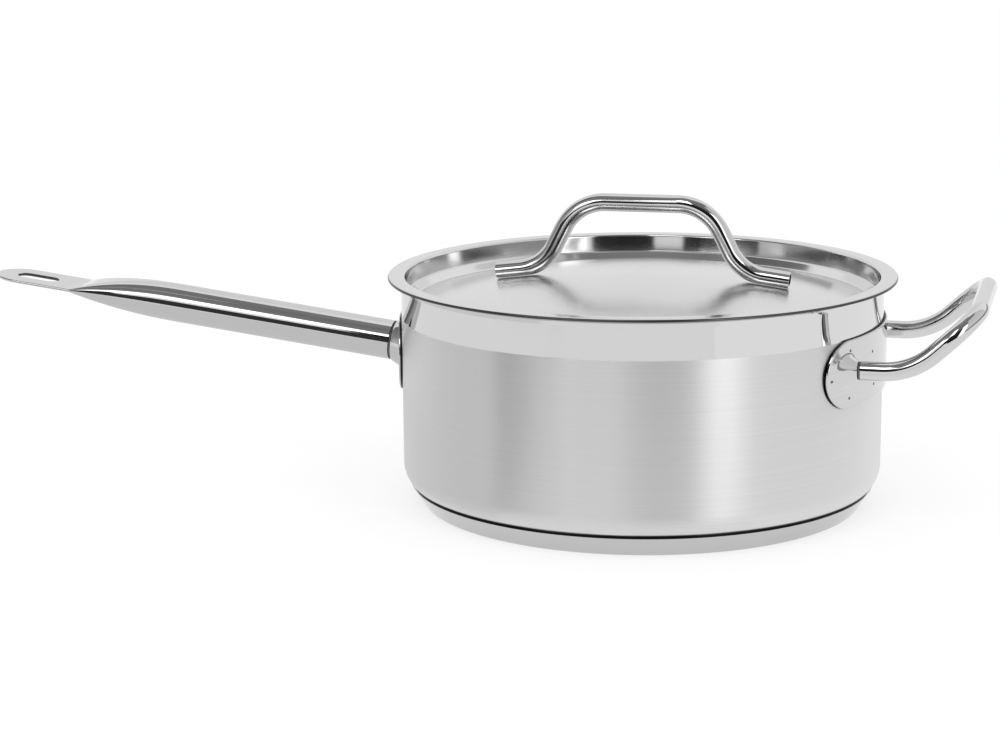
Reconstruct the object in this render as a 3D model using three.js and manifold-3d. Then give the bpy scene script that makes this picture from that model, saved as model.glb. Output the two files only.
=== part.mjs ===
// A stainless steel saucepan with a lid: a drawn pot on a capped aluminium base, a long tube handle with a
// pinched hanging tab, a bent helper handle opposite, and a recessed lid with an arched handle.
// Millimetres, +Z up. The origin is on the pot's axis at the plane it rests on.
// The long handle points along -X and the helper handle along +X.

import * as THREE from 'three';
import { mergeVertices } from 'three/addons/utils/BufferGeometryUtils.js';
import Module from 'manifold-3d';

const wasm = await Module();
wasm.setup();

// Clearance between pieces that touch on the real pan
const SEAT_GAP = 0.3;

// Pot
const POT_INNER_RADIUS = 120;
const POT_WALL = 1;
const POT_RIM_HEIGHT = 114.5;
const POT_CORNER_RADIUS = 13;
const RIM_FLARE_RADIUS = 3;
const RIM_LIP_WIDTH = 1.2;

// Capped base
const CAP_SHEET = 0.8;
const CAP_LAP = 2.6;
const CAP_TAPER = 6;
const CAP_FOOT_ROUND = 1.6;
const CORE_THICKNESS = 5.6;
const CORE_RIM_DROP = 1.6;
const GROOVE_WIDTH = 0.8;

// Lid
const LID_SHEET = 0.9;
const LID_CLEARANCE = 1.1;
const LID_OVERHANG = 6.6;
const LID_WALL_DEPTH = 9.1;
const LID_WALL_DRAFT = 0.9;
const LID_WALL_BEND = 1.4;
const LID_STEP = 0.8;
const LID_CHANNEL_DEPTH = 13.4;
const LID_CHANNEL_INSET = 4.6;
const LID_CHANNEL_ROUND = 1.5;
const LID_CENTRE_RISE = 13.1;
const LID_EDGE_ROUND = 1.2;
const LID_EDGE_TURN = 0.2;

// Lid handle
const LID_TUBE_DIAMETER = 9;
const LID_TUBE_WALL = 1.2;
const LID_HANDLE_LENGTH = 149.6;
const LID_HANDLE_HEIGHT = 40.6;
const LID_FOOT_LENGTH = 24.5;
const LID_FOOT_FLAT = 1.1;
const LID_LEG_RUN = 17;
const LID_FOOT_BEND = 22;
const LID_TOP_BEND = 24;

// Long handle
const HANDLE_DIAMETER = 20.4;
const HANDLE_WALL = 0.8;
const HANDLE_LENGTH = 222.8;
const HANDLE_HEIGHT = 73.9;
const HANDLE_TILT = 7.2;
const PINCH_LENGTH = 60;
const PINCH_POWER = 2.4;
const TAB_LENGTH = 47;
const SLOT_LENGTH = 23;
const SLOT_WIDTH = 10;
const SLOT_INSET = 10.8;

// Brackets
const BRACKET_SHEET = 1.5;
const BRACKET_LENGTH = 74;
const BRACKET_HEIGHT = 40;
const BOSS_DEPTH = 7.4;
const BOSS_FLARE = 3.2;
const BOSS_LIP = 0.4;
const WELD_THICKNESS = 0.6;
const WELD_PIT_DIAMETER = 2;
const WELD_PIT_FLOOR = 1;
const WELD_PIT_DEPTH = 0.75;
const WELD_PIT_INSET = 7;

// Helper handle
const HELPER_DIAMETER = 9.1;
const HELPER_WALL = 1.2;
const HELPER_SPACING = 104.2;
const HELPER_HEIGHT = 80.9;
const HELPER_REACH = 48.7;
const HELPER_RISE = 27.4;
const HELPER_SLOPE = 42.9;
const HELPER_BEND = 35;
const HELPER_CORNER = 20;
const HELPER_BRACKET_END = 15.3;
const HELPER_BRACKET_HEIGHT = 33;
const HELPER_BRACKET_CENTRE_HEIGHT = 78.8;
const HELPER_BOSS_DEPTH = 4;
const HELPER_BOSS_FLARE = 2.4;
const HELPER_PIT_EDGE_SHARE = 0.7;
const HELPER_PIT_INNER_SHARE = 0.5;

// Facets
const LATHE_SEGMENTS = 60;
const ARC_SEGMENTS = 4;
const DOME_SEGMENTS = 5;
const BEND_SEGMENTS = 2;
const END_SEGMENTS = 12;
const TUBE_SIDES = 12;
const LID_HANDLE_STEPS = 34;
const HELPER_STEPS = 36;
const HANDLE_SIDES = 20;
const PINCH_SEGMENTS = 12;
const TAB_END_SEGMENTS = 6;
const CYLINDER_SEGMENTS = 120;
const PIT_SIDES = 8;
const MERGE_DISTANCE = 1e-4;

// Share of a straight that the bends at its two ends may take up
const BEND_ROOM = 0.98;

// Share of the pinch, next to the tab, where the tube's walls already meet
const PINCH_CLOSED_SHARE = 0.03;

// Places that follow from the sizes
const potOuterRadius = POT_INNER_RADIUS + POT_WALL;
const floorUnderside = CAP_SHEET + CORE_THICKNESS + 2 * SEAT_GAP;
const capHeight = floorUnderside + CAP_LAP;
const cornerRing = potOuterRadius - POT_CORNER_RADIUS;
const cornerHeight = floorUnderside + POT_CORNER_RADIUS;
const flareHeight = POT_RIM_HEIGHT - POT_WALL - RIM_FLARE_RADIUS;
const flareRing = potOuterRadius + RIM_FLARE_RADIUS;
const lidTop = POT_RIM_HEIGHT + SEAT_GAP + LID_SHEET;
const lidWallRadius = POT_INNER_RADIUS - LID_CLEARANCE - LID_SHEET;
const lidChannelRadius = lidWallRadius - LID_CHANNEL_INSET;
const lidChannelHeight = lidTop - LID_CHANNEL_DEPTH;
const lidOuterRadius = potOuterRadius + LID_OVERHANG;
const bracketSeatRadius = potOuterRadius + SEAT_GAP;
const bracketFaceRadius = bracketSeatRadius + BRACKET_SHEET;
const weldGap = WELD_THICKNESS + 2 * SEAT_GAP;
const handleTilt = THREE.MathUtils.degToRad(HANDLE_TILT);
const helperSlope = THREE.MathUtils.degToRad(HELPER_SLOPE);

// Finishes
const STEEL_BRUSHED = { color: 0xc4c5c6, roughness: 0.36, metalness: 1 };
const STEEL_POLISHED = { color: 0xd2d3d4, roughness: 0.14, metalness: 1 };
const ALUMINIUM = { color: 0xb9bbbd, roughness: 0.5, metalness: 1 };
const STEEL_WELD = { color: 0x8f9091, roughness: 0.42, metalness: 1 };

const point = (r, z) => new THREE.Vector2(r, z);

// Points of an arc about (r, z), from one angle to another in degrees, both ends included
function arc(r, z, radius, from, to, segments = ARC_SEGMENTS) {
  const points = [];
  for (let i = 0; i <= segments; i += 1) {
    const angle = THREE.MathUtils.degToRad(from + ((to - from) * i) / segments);
    points.push(point(r + radius * Math.cos(angle), z + radius * Math.sin(angle)));
  }
  return points;
}

// A line moved sideways by a distance, to the left of its direction, with mitred corners
function offset(line, distance) {
  const leftOf = (a, b) => point(a.y - b.y, b.x - a.x).normalize();
  return line.map((p, i) => {
    const before = leftOf(line[Math.max(i - 1, 0)], line[Math.max(i, 1)]);
    const last = line.length - 1;
    const after = leftOf(line[Math.min(i, last - 1)], line[Math.min(i + 1, last)]);
    const middle = before.clone().add(after).normalize();
    return p.clone().addScaledVector(middle, distance / middle.dot(before));
  });
}

// Turn a geometry into one closed set of shared vertices, with no slivers and its faces pointing out
function closed(geometry) {
  const bare = geometry.clone();
  bare.deleteAttribute('normal');
  bare.deleteAttribute('uv');
  const merged = mergeVertices(bare, MERGE_DISTANCE);
  const corners = merged.getAttribute('position');
  const at = (i) => new THREE.Vector3().fromBufferAttribute(corners, i);
  const faces = [];
  let volume = 0;
  for (let i = 0; i < merged.index.count; i += 3) {
    const [a, b, c] = [0, 1, 2].map((k) => merged.index.getX(i + k));
    if (a !== b && b !== c && c !== a) {
      faces.push([a, b, c]);
      volume += at(a).dot(at(b).cross(at(c)));
    }
  }
  merged.setIndex(faces.flatMap(([a, b, c]) => (volume > 0 ? [a, b, c] : [a, c, b])));
  return merged;
}

function toSolid(geometry) {
  const body = closed(geometry);
  const vertProperties = Float32Array.from(body.getAttribute('position').array);
  const triVerts = Uint32Array.from(body.index.array);
  return new wasm.Manifold(new wasm.Mesh({ numProp: 3, vertProperties, triVerts }));
}

function toGeometry(solid) {
  const mesh = solid.getMesh();
  const geometry = new THREE.BufferGeometry();
  geometry.setAttribute('position', new THREE.BufferAttribute(Float32Array.from(mesh.vertProperties), 3));
  geometry.setIndex(Array.from(mesh.triVerts));
  return geometry;
}

function piece(name, geometry, finish) {
  const flat = geometry.toNonIndexed();
  flat.computeVertexNormals();
  const mesh = new THREE.Mesh(flat, new THREE.MeshStandardMaterial(finish));
  mesh.name = name;
  return mesh;
}

// Turn a profile of radius and height about the Z axis
function turned(profile) {
  return closed(new THREE.LatheGeometry(profile, LATHE_SEGMENTS).rotateX(Math.PI / 2));
}

// A round bar along X, from one x to another, with a radius at each end
function cone(fromX, toX, fromRadius, toRadius, sides) {
  const bar = new THREE.CylinderGeometry(toRadius, fromRadius, toX - fromX, sides);
  return bar.rotateZ(-Math.PI / 2).translate((fromX + toX) / 2, 0, 0);
}

// A path through points whose corners are rounded to the given radii, as far as the straights allow
function roundedPath(points, radii) {
  const count = points.length;
  const straight = (i) => points[i + 1].distanceTo(points[i]);
  const turn = points.map((p, i) => {
    if (i === 0 || i === count - 1) {
      return 0;
    }
    return p.clone().sub(points[i - 1]).angleTo(points[i + 1].clone().sub(p));
  });
  const setback = turn.map((angle, i) => radii[i] * Math.tan(angle / 2));
  const room = points.map((p, i) => {
    const before = i > 0 ? straight(i - 1) / (setback[i - 1] + setback[i]) : Infinity;
    const after = i < count - 1 ? straight(i) / (setback[i] + setback[i + 1]) : Infinity;
    return setback[i] * Math.min(1, BEND_ROOM * before, BEND_ROOM * after);
  });
  const toward = (i, j) => points[i].clone().add(
    points[j].clone().sub(points[i]).setLength(room[i]),
  );
  const path = new THREE.CurvePath();
  let here = points[0];
  for (let i = 1; i < count - 1; i += 1) {
    const enter = toward(i, i - 1);
    const leave = toward(i, i + 1);
    const roundness = (4 * Math.tan(turn[i] / 4)) / (3 * Math.tan(turn[i] / 2));
    const enterPull = enter.clone().lerp(points[i], roundness);
    const leavePull = leave.clone().lerp(points[i], roundness);
    path.add(new THREE.LineCurve3(here, enter));
    path.add(new THREE.CubicBezierCurve3(enter, enterPull, leavePull, leave));
    here = leave;
  }
  path.add(new THREE.LineCurve3(here, points[count - 1]));
  return path;
}

// A bar along a path, with a round section
function swept(path, radius, steps, sides = TUBE_SIDES) {
  const section = new THREE.Shape(arc(0, 0, radius, 0, 360, sides).slice(0, sides));
  return new THREE.ExtrudeGeometry(section, { steps, extrudePath: path, bevelEnabled: false });
}

// A flat plate with round ends, lying across X: half its length along Y, its height along Z
function stadiumPrism(length, height, endReach, fromX, toX) {
  const outline = new THREE.Shape();
  const half = length / 2 - endReach;
  outline.absellipse(half, 0, endReach, height / 2, -Math.PI / 2, Math.PI / 2);
  outline.absellipse(-half, 0, endReach, height / 2, Math.PI / 2, Math.PI * 1.5);
  const prism = new THREE.ExtrudeGeometry(outline, {
    depth: toX - fromX,
    bevelEnabled: false,
    curveSegments: END_SEGMENTS,
  });
  const across = new THREE.Matrix4().makeBasis(
    new THREE.Vector3(0, 1, 0),
    new THREE.Vector3(0, 0, 1),
    new THREE.Vector3(1, 0, 0),
  );
  return prism.applyMatrix4(across).translate(fromX, 0, 0);
}

// The drawn pot: floor, rounded corner, straight wall and a lip that flares out at the rim
function potShell() {
  const lipRadius = flareRing + RIM_LIP_WIDTH;
  return turned([
    point(0, floorUnderside),
    ...arc(cornerRing, cornerHeight, POT_CORNER_RADIUS, -90, 0),
    ...arc(flareRing, flareHeight, RIM_FLARE_RADIUS, 180, 90),
    point(lipRadius, POT_RIM_HEIGHT - POT_WALL),
    point(lipRadius, POT_RIM_HEIGHT),
    ...arc(flareRing, flareHeight, RIM_FLARE_RADIUS + POT_WALL, 90, 180),
    ...arc(cornerRing, cornerHeight, POT_CORNER_RADIUS - POT_WALL, 0, -90),
    point(0, floorUnderside + POT_WALL),
  ]);
}

// The outer line of the base cap, from the axis along the foot and up the slanted side to the rim
function capLine() {
  const below = cornerHeight - capHeight;
  const cornerReach = cornerRing + Math.sqrt(POT_CORNER_RADIUS ** 2 - below ** 2);
  const rimRadius = cornerReach + GROOVE_WIDTH + CAP_SHEET;
  const side = Math.atan2(capHeight, CAP_TAPER);
  const footReach = rimRadius - CAP_TAPER - CAP_FOOT_ROUND * Math.tan(side / 2);
  const sideAngle = THREE.MathUtils.radToDeg(side);
  return [
    point(0, 0),
    ...arc(footReach, CAP_FOOT_ROUND, CAP_FOOT_ROUND, -90, sideAngle - 90, BEND_SEGMENTS),
    point(rimRadius, capHeight),
  ];
}

// A sheet's closed profile: a line that starts on the axis, and the same line moved by its thickness
function sheetProfile(line, thickness) {
  const other = offset(line, thickness);
  other[0].x = 0;
  return [...line, ...other.reverse()];
}

function baseCap() {
  return turned(sheetProfile(capLine(), CAP_SHEET));
}

// The aluminium core fills the cap up to the pot's floor and a little way up round its corner
function baseCore() {
  const under = offset(capLine(), CAP_SHEET + SEAT_GAP);
  const top = under.pop();
  const foot = under[under.length - 1];
  const rimHeight = capHeight - CORE_RIM_DROP;
  const share = (rimHeight - foot.y) / (top.y - foot.y);
  const seatRadius = POT_CORNER_RADIUS + SEAT_GAP;
  const rimAngle = THREE.MathUtils.radToDeg(Math.asin((rimHeight - cornerHeight) / seatRadius));
  return turned([
    ...under,
    foot.clone().lerp(top, share),
    ...arc(cornerRing, cornerHeight, seatRadius, rimAngle, -90, BEND_SEGMENTS),
    point(0, floorUnderside - SEAT_GAP),
  ]);
}

// Height of the lid's raised middle, which falls with the square of the radius to the channel
function domeHeight(r) {
  return lidChannelHeight + LID_CENTRE_RISE * (1 - (r / lidChannelRadius) ** 2);
}

// The lid's sheet: raised middle, channel, slanted band, drafted wall, flange and rounded edge
function lidPan() {
  const stepHeight = lidTop - LID_WALL_DEPTH;
  const domeEdge = lidChannelRadius - LID_CHANNEL_ROUND;
  const bendRing = lidWallRadius + LID_WALL_DRAFT + LID_WALL_BEND;
  const edgeRing = lidOuterRadius - LID_EDGE_ROUND;
  const line = [];
  for (let i = 0; i <= DOME_SEGMENTS; i += 1) {
    const r = (domeEdge * i) / DOME_SEGMENTS;
    line.push(point(r, domeHeight(r)));
  }
  line.push(point(lidChannelRadius + LID_CHANNEL_ROUND / 2, lidChannelHeight));
  line.push(point(lidWallRadius - LID_STEP, stepHeight - LID_STEP / 2));
  line.push(point(lidWallRadius, stepHeight));
  line.push(...arc(bendRing, lidTop - LID_WALL_BEND, LID_WALL_BEND, 180, 90, BEND_SEGMENTS));
  line.push(...arc(edgeRing, lidTop - LID_EDGE_ROUND, LID_EDGE_ROUND, 90, 0, BEND_SEGMENTS));
  line.push(point(lidOuterRadius, lidTop - LID_EDGE_ROUND - LID_EDGE_TURN));
  return turned(sheetProfile(line, -LID_SHEET));
}

// The lid handle's feet lie on the raised middle, so their slope and height come from it
const footEnd = LID_HANDLE_LENGTH / 2;
const footStart = footEnd - LID_FOOT_LENGTH;
const footFall = Math.atan2(domeHeight(footStart) - domeHeight(footEnd), LID_FOOT_LENGTH);
const footAxisLift = (SEAT_GAP + LID_TUBE_DIAMETER / 2 - LID_FOOT_FLAT) / Math.cos(footFall);

// The axis of the lid handle: foot, leg, top bar, leg, foot. The ends can be drawn out to cut a bore.
function lidHandlePath(drawnOut) {
  const topHeight = domeHeight(footEnd) + LID_HANDLE_HEIGHT;
  const topReach = footStart - LID_LEG_RUN;
  const endReach = footEnd + drawnOut * Math.cos(footFall);
  const endHeight = domeHeight(footEnd) + footAxisLift - drawnOut * Math.sin(footFall);
  const half = [
    [endReach, endHeight],
    [footStart, domeHeight(footStart) + footAxisLift],
    [topReach, topHeight],
  ];
  const points = [
    ...half.map(([x, z]) => new THREE.Vector3(-x, 0, z)),
    ...half.reverse().map(([x, z]) => new THREE.Vector3(x, 0, z)),
  ];
  const radii = [0, LID_FOOT_BEND, LID_TOP_BEND, LID_TOP_BEND, LID_FOOT_BEND, 0];
  return roundedPath(points, radii);
}

// Blocks under both feet, whose upper faces are parallel to the lid, lifted from its seat
function footBlocks(lift) {
  const depth = LID_TUBE_DIAMETER;
  const block = new THREE.BoxGeometry(2 * LID_FOOT_LENGTH + LID_LEG_RUN, 2 * LID_TUBE_DIAMETER, depth);
  block.translate(0, 0, SEAT_GAP + lift - depth / 2);
  const middle = (footStart + footEnd) / 2;
  const height = (domeHeight(footStart) + domeHeight(footEnd)) / 2;
  const right = block.clone().rotateY(footFall).translate(middle, 0, height);
  const left = block.clone().rotateY(-footFall).translate(-middle, 0, height);
  return toSolid(right).add(toSolid(left));
}

// A bent tube with flattened, open feet
function lidHandle() {
  const bar = toSolid(swept(lidHandlePath(0), LID_TUBE_DIAMETER / 2, LID_HANDLE_STEPS));
  const boreRadius = LID_TUBE_DIAMETER / 2 - LID_TUBE_WALL;
  const bore = toSolid(swept(lidHandlePath(LID_TUBE_WALL), boreRadius, LID_HANDLE_STEPS));
  const outside = bar.subtract(footBlocks(0));
  return toGeometry(outside.subtract(bore.subtract(footBlocks(LID_TUBE_WALL))));
}

// A boss pressed out of a bracket along X from its face: a cone, and the same cone one sheet smaller
function bossCone(depth, tubeDiameter, flare, inset, sides) {
  const sink = depth + flare;
  const front = tubeDiameter / 2 + BOSS_LIP - inset;
  const back = front + (flare * (depth + sink)) / depth;
  return cone(-sink, depth - inset, back, front, sides);
}

// A plate wrapped round the pot's wall on the +X side, with pressed bosses and small weld pits
function bracket({ length, height, endReach, centreHeight, bosses, pits }) {
  const round = (radius) => {
    const drum = new THREE.CylinderGeometry(radius, radius, 2 * height, CYLINDER_SEGMENTS);
    return toSolid(drum.rotateX(Math.PI / 2).translate(0, 0, centreHeight));
  };
  const blank = stadiumPrism(length, height, endReach, 0, 2 * bracketFaceRadius);
  let plate = toSolid(blank.translate(0, 0, centreHeight)).intersect(round(bracketFaceRadius));
  bosses.forEach(({ outer }) => {
    plate = plate.add(toSolid(outer));
  });
  bosses.forEach(({ inner }) => {
    plate = plate.subtract(toSolid(inner));
  });
  pits.forEach(([y, z]) => {
    const floor = WELD_PIT_FLOOR / 2;
    const pit = cone(-WELD_PIT_DEPTH, WELD_PIT_DEPTH, floor, WELD_PIT_DIAMETER - floor, PIT_SIDES);
    pit.translate(bracketFaceRadius, 0, z).rotateZ(Math.asin(y / bracketFaceRadius));
    plate = plate.subtract(toSolid(pit));
  });
  return toGeometry(plate.subtract(round(bracketSeatRadius)));
}

// A weld bead between a boss and the tube that butts on it: a thin ring along X
function weldRing(tubeDiameter, wall, sides) {
  const outer = tubeDiameter / 2 + SEAT_GAP;
  const inner = tubeDiameter / 2 - wall;
  const loop = [
    point(inner, 0),
    point(outer, 0),
    point(outer, WELD_THICKNESS),
    point(inner, WELD_THICKNESS),
    point(inner, 0),
  ];
  const ring = new THREE.LatheGeometry(loop, sides).rotateZ(-Math.PI / 2);
  return closed(ring.translate(SEAT_GAP, 0, 0));
}

// A point of a section with two flats and two round edges, a share of the way round from its top middle
function flattened(share, flat, halfThickness) {
  const around = 4 * flat + 2 * Math.PI * halfThickness;
  const side = share <= 0.5 ? 1 : -1;
  const along = around * Math.min(share, 1 - share);
  const edge = Math.PI * halfThickness;
  if (along <= flat) {
    return [side * along, halfThickness];
  }
  if (along <= flat + edge) {
    const angle = (along - flat) / halfThickness;
    return [side * (flat + halfThickness * Math.sin(angle)), halfThickness * Math.cos(angle)];
  }
  return [side * (2 * flat + edge - along), -halfThickness];
}

// The long handle's sections along its length: a round tube, pressed until its walls meet in a flat tab
const handleRadius = HANDLE_DIAMETER / 2;
const tabStart = HANDLE_LENGTH - TAB_LENGTH;
const tabReach = (Math.PI * (handleRadius - HANDLE_WALL)) / 2 + HANDLE_WALL;

function handleHalfThickness(s) {
  const pressed = THREE.MathUtils.clamp((tabStart - s) / PINCH_LENGTH, 0, 1);
  return HANDLE_WALL + (handleRadius - HANDLE_WALL) * (1 - (1 - pressed) ** PINCH_POWER);
}

function handleFlat(s) {
  const halfThickness = handleHalfThickness(s);
  const pressed = (Math.PI * (handleRadius - halfThickness)) / 2;
  const intoEnd = s - (HANDLE_LENGTH - tabReach);
  if (intoEnd <= 0) {
    return pressed;
  }
  const rounded = Math.sqrt(Math.max(tabReach ** 2 - intoEnd ** 2, 0));
  return Math.max(Math.min(pressed, rounded - halfThickness), 0);
}

// A tube reshaped section by section at the given stations, its walls moved in by an inset
function reshapedTube(stations, inset) {
  const tube = new THREE.CylinderGeometry(1, 1, 1, HANDLE_SIDES, stations.length - 1);
  const corners = tube.getAttribute('position');
  for (let i = 0; i < corners.count; i += 1) {
    const ring = Math.round((corners.getY(i) + 0.5) * (stations.length - 1));
    const s = stations[ring];
    const middle = Math.hypot(corners.getX(i), corners.getZ(i)) < 0.5;
    const turn = Math.atan2(corners.getX(i), corners.getZ(i)) / (2 * Math.PI);
    const share = (turn + 1) % 1;
    const [across, up] = middle ? [0, 0] : flattened(share, handleFlat(s), handleHalfThickness(s) - inset);
    corners.setXYZ(i, across, s, up);
  }
  return tube.rotateZ(-Math.PI / 2);
}

// The long handle along +X from its open end: tube, pinch, tab and hanging slot
function longHandle() {
  const pinch = Array.from({ length: PINCH_SEGMENTS }, (_, i) => {
    const share = 1 - i / PINCH_SEGMENTS;
    return tabStart - PINCH_LENGTH * share ** 2;
  });
  const tabEnd = Array.from({ length: TAB_END_SEGMENTS + 1 }, (_, i) => {
    const last = Math.acos(HANDLE_WALL / tabReach);
    return HANDLE_LENGTH - tabReach + tabReach * Math.sin((last * i) / TAB_END_SEGMENTS);
  });
  const outside = toSolid(reshapedTube([0, ...pinch, tabStart, ...tabEnd], 0));
  const boreEnd = tabStart - PINCH_LENGTH * PINCH_CLOSED_SHARE;
  const boreStations = [-HANDLE_WALL, ...pinch.filter((s) => s < boreEnd), boreEnd];
  const bore = toSolid(reshapedTube(boreStations, HANDLE_WALL));
  const slotMiddle = HANDLE_LENGTH - SLOT_INSET - SLOT_LENGTH / 2;
  const slot = stadiumPrism(SLOT_LENGTH, SLOT_WIDTH, SLOT_WIDTH / 2, -2 * HANDLE_WALL, 2 * HANDLE_WALL);
  const turnFlat = new THREE.Matrix4().makeBasis(
    new THREE.Vector3(0, 0, 1),
    new THREE.Vector3(1, 0, 0),
    new THREE.Vector3(0, 1, 0),
  );
  slot.applyMatrix4(turnFlat).translate(slotMiddle, 0, 0);
  return toGeometry(outside.subtract(bore).subtract(toSolid(slot)));
}

// The handle side: everything on the -X side, built towards +X and turned round
function handleSide() {
  const side = new THREE.Group();
  side.rotation.z = Math.PI;
  const seat = (geometry) => geometry.rotateY(-handleTilt).translate(bracketFaceRadius, 0, HANDLE_HEIGHT);
  const boss = (inset) => seat(bossCone(BOSS_DEPTH, HANDLE_DIAMETER, BOSS_FLARE, inset, HANDLE_SIDES));
  const pitReach = BRACKET_LENGTH / 2 - WELD_PIT_INSET;
  const plate = bracket({
    length: BRACKET_LENGTH,
    height: BRACKET_HEIGHT,
    endReach: BRACKET_HEIGHT / 2,
    centreHeight: HANDLE_HEIGHT,
    bosses: [{ outer: boss(0), inner: boss(BRACKET_SHEET) }],
    pits: [[-pitReach, HANDLE_HEIGHT], [pitReach, HANDLE_HEIGHT]],
  });
  side.add(piece('handle_bracket', plate, STEEL_POLISHED));
  const weld = piece('handle_weld', weldRing(HANDLE_DIAMETER, HANDLE_WALL, HANDLE_SIDES), STEEL_WELD);
  const tube = piece('long_handle', longHandle(), STEEL_POLISHED);
  const arm = new THREE.Group();
  arm.position.set(bracketFaceRadius, 0, HANDLE_HEIGHT);
  arm.rotation.y = -handleTilt;
  weld.position.x = BOSS_DEPTH;
  tube.position.x = BOSS_DEPTH + weldGap;
  arm.add(weld, tube);
  side.add(arm);
  return side;
}

// The helper handle's axis: two level legs that bend up into a loop across the end
function helperPath(startX, drawnOut) {
  const endX = potOuterRadius + HELPER_REACH;
  const bendX = endX - HELPER_RISE / Math.tan(helperSlope);
  const leg = [
    [startX - drawnOut, HELPER_HEIGHT],
    [bendX, HELPER_HEIGHT],
    [endX, HELPER_HEIGHT + HELPER_RISE],
  ];
  const points = [
    ...leg.map(([x, z]) => new THREE.Vector3(x, -HELPER_SPACING / 2, z)),
    ...leg.reverse().map(([x, z]) => new THREE.Vector3(x, HELPER_SPACING / 2, z)),
  ];
  return roundedPath(points, [0, HELPER_BEND, HELPER_CORNER, HELPER_CORNER, HELPER_BEND, 0]);
}

// The helper side: the long bracket, two weld beads and the bent tube
function helperSide() {
  const side = new THREE.Group();
  const legY = HELPER_SPACING / 2;
  const faceX = Math.sqrt(bracketFaceRadius ** 2 - legY ** 2);
  const bossFront = faceX + HELPER_BOSS_DEPTH;
  const boss = (sign, inset) => {
    const shape = bossCone(HELPER_BOSS_DEPTH, HELPER_DIAMETER, HELPER_BOSS_FLARE, inset, TUBE_SIDES);
    return shape.translate(faceX, sign * legY, HELPER_HEIGHT);
  };
  const pitEnd = legY + HELPER_PIT_EDGE_SHARE * HELPER_BRACKET_END;
  const pitRise = (HELPER_PIT_EDGE_SHARE * HELPER_BRACKET_HEIGHT) / 2;
  const pitInner = HELPER_PIT_INNER_SHARE * legY;
  const pitInnerRise = (HELPER_PIT_INNER_SHARE * HELPER_BRACKET_HEIGHT) / 2;
  const pitsOf = (sign) => [
    [sign * pitEnd, HELPER_BRACKET_CENTRE_HEIGHT],
    [sign * legY, HELPER_BRACKET_CENTRE_HEIGHT + pitRise],
    [sign * legY, HELPER_BRACKET_CENTRE_HEIGHT - pitRise],
    [sign * pitInner, HELPER_BRACKET_CENTRE_HEIGHT + pitInnerRise],
    [sign * pitInner, HELPER_BRACKET_CENTRE_HEIGHT - pitInnerRise],
  ];
  const plate = bracket({
    length: HELPER_SPACING + 2 * HELPER_BRACKET_END,
    height: HELPER_BRACKET_HEIGHT,
    endReach: HELPER_BRACKET_END,
    centreHeight: HELPER_BRACKET_CENTRE_HEIGHT,
    bosses: [-1, 1].map((sign) => ({ outer: boss(sign, 0), inner: boss(sign, BRACKET_SHEET) })),
    pits: [-1, 1].flatMap(pitsOf),
  });
  side.add(piece('helper_bracket', plate, STEEL_POLISHED));
  [['helper_weld_front', -1], ['helper_weld_back', 1]].forEach(([name, sign]) => {
    const weld = piece(name, weldRing(HELPER_DIAMETER, HELPER_WALL, TUBE_SIDES), STEEL_WELD);
    weld.position.set(bossFront, sign * legY, HELPER_HEIGHT);
    side.add(weld);
  });
  const start = bossFront + weldGap;
  const bar = toSolid(swept(helperPath(start, 0), HELPER_DIAMETER / 2, HELPER_STEPS));
  const boreRadius = HELPER_DIAMETER / 2 - HELPER_WALL;
  const bore = toSolid(swept(helperPath(start, HELPER_WALL), boreRadius, HELPER_STEPS));
  side.add(piece('helper_handle', toGeometry(bar.subtract(bore)), STEEL_POLISHED));
  return side;
}

const pan = new THREE.Group();
pan.add(piece('pot_shell', potShell(), STEEL_BRUSHED));
pan.add(piece('base_core', baseCore(), ALUMINIUM));
pan.add(piece('base_cap', baseCap(), STEEL_POLISHED));
pan.add(handleSide());
pan.add(helperSide());
pan.add(piece('lid_pan', lidPan(), STEEL_BRUSHED));
pan.add(piece('lid_handle', lidHandle(), STEEL_POLISHED));

export default pan;
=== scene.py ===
# %% [markdown]
# # A stainless steel saucepan with a lid
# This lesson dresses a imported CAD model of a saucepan. The CAD solids give every place and size, and each
# visible piece is made again here as a fine surface, because polished steel shows every facet. The pieces
# are worked out with numpy as whole grids of points: most are a profile turned about the pot's axis or a
# section carried along a path. All sizes are in millimetres until a mesh is made, and +Z is up.

# %% Load the frame
import math

import bmesh
import bpy
import numpy as np
from mathutils import Matrix


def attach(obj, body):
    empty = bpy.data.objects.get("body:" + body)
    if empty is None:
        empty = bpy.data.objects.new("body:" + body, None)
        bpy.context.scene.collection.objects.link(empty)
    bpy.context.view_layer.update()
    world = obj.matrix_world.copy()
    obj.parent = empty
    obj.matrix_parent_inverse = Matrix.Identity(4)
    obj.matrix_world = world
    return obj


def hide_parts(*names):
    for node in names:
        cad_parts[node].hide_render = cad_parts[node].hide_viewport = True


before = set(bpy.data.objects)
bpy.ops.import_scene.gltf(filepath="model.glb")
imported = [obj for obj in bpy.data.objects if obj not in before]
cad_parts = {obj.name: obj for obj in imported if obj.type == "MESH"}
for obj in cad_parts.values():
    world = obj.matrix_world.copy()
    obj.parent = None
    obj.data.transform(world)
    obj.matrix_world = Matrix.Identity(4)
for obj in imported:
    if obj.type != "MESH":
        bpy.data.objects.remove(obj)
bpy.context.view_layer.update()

# %% [markdown]
# ## Camera
# The photograph was taken from a little over a metre away, slightly above the lid. A long lens keeps the
# pot's sides almost parallel. The camera could be aimed with a Track To constraint, but writing its three
# axes down gives the small roll of the picture too, so its matrix is built from yaw, pitch and roll.

# %% Camera
CAMERA_PLACE = (0.2371, -1.1865, 0.3266)
CAMERA_YAW = 0.2565
CAMERA_PITCH = 0.2149
CAMERA_ROLL = -0.0089
CAMERA_LENS = 87.65
SENSOR_WIDTH = 36


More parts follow.
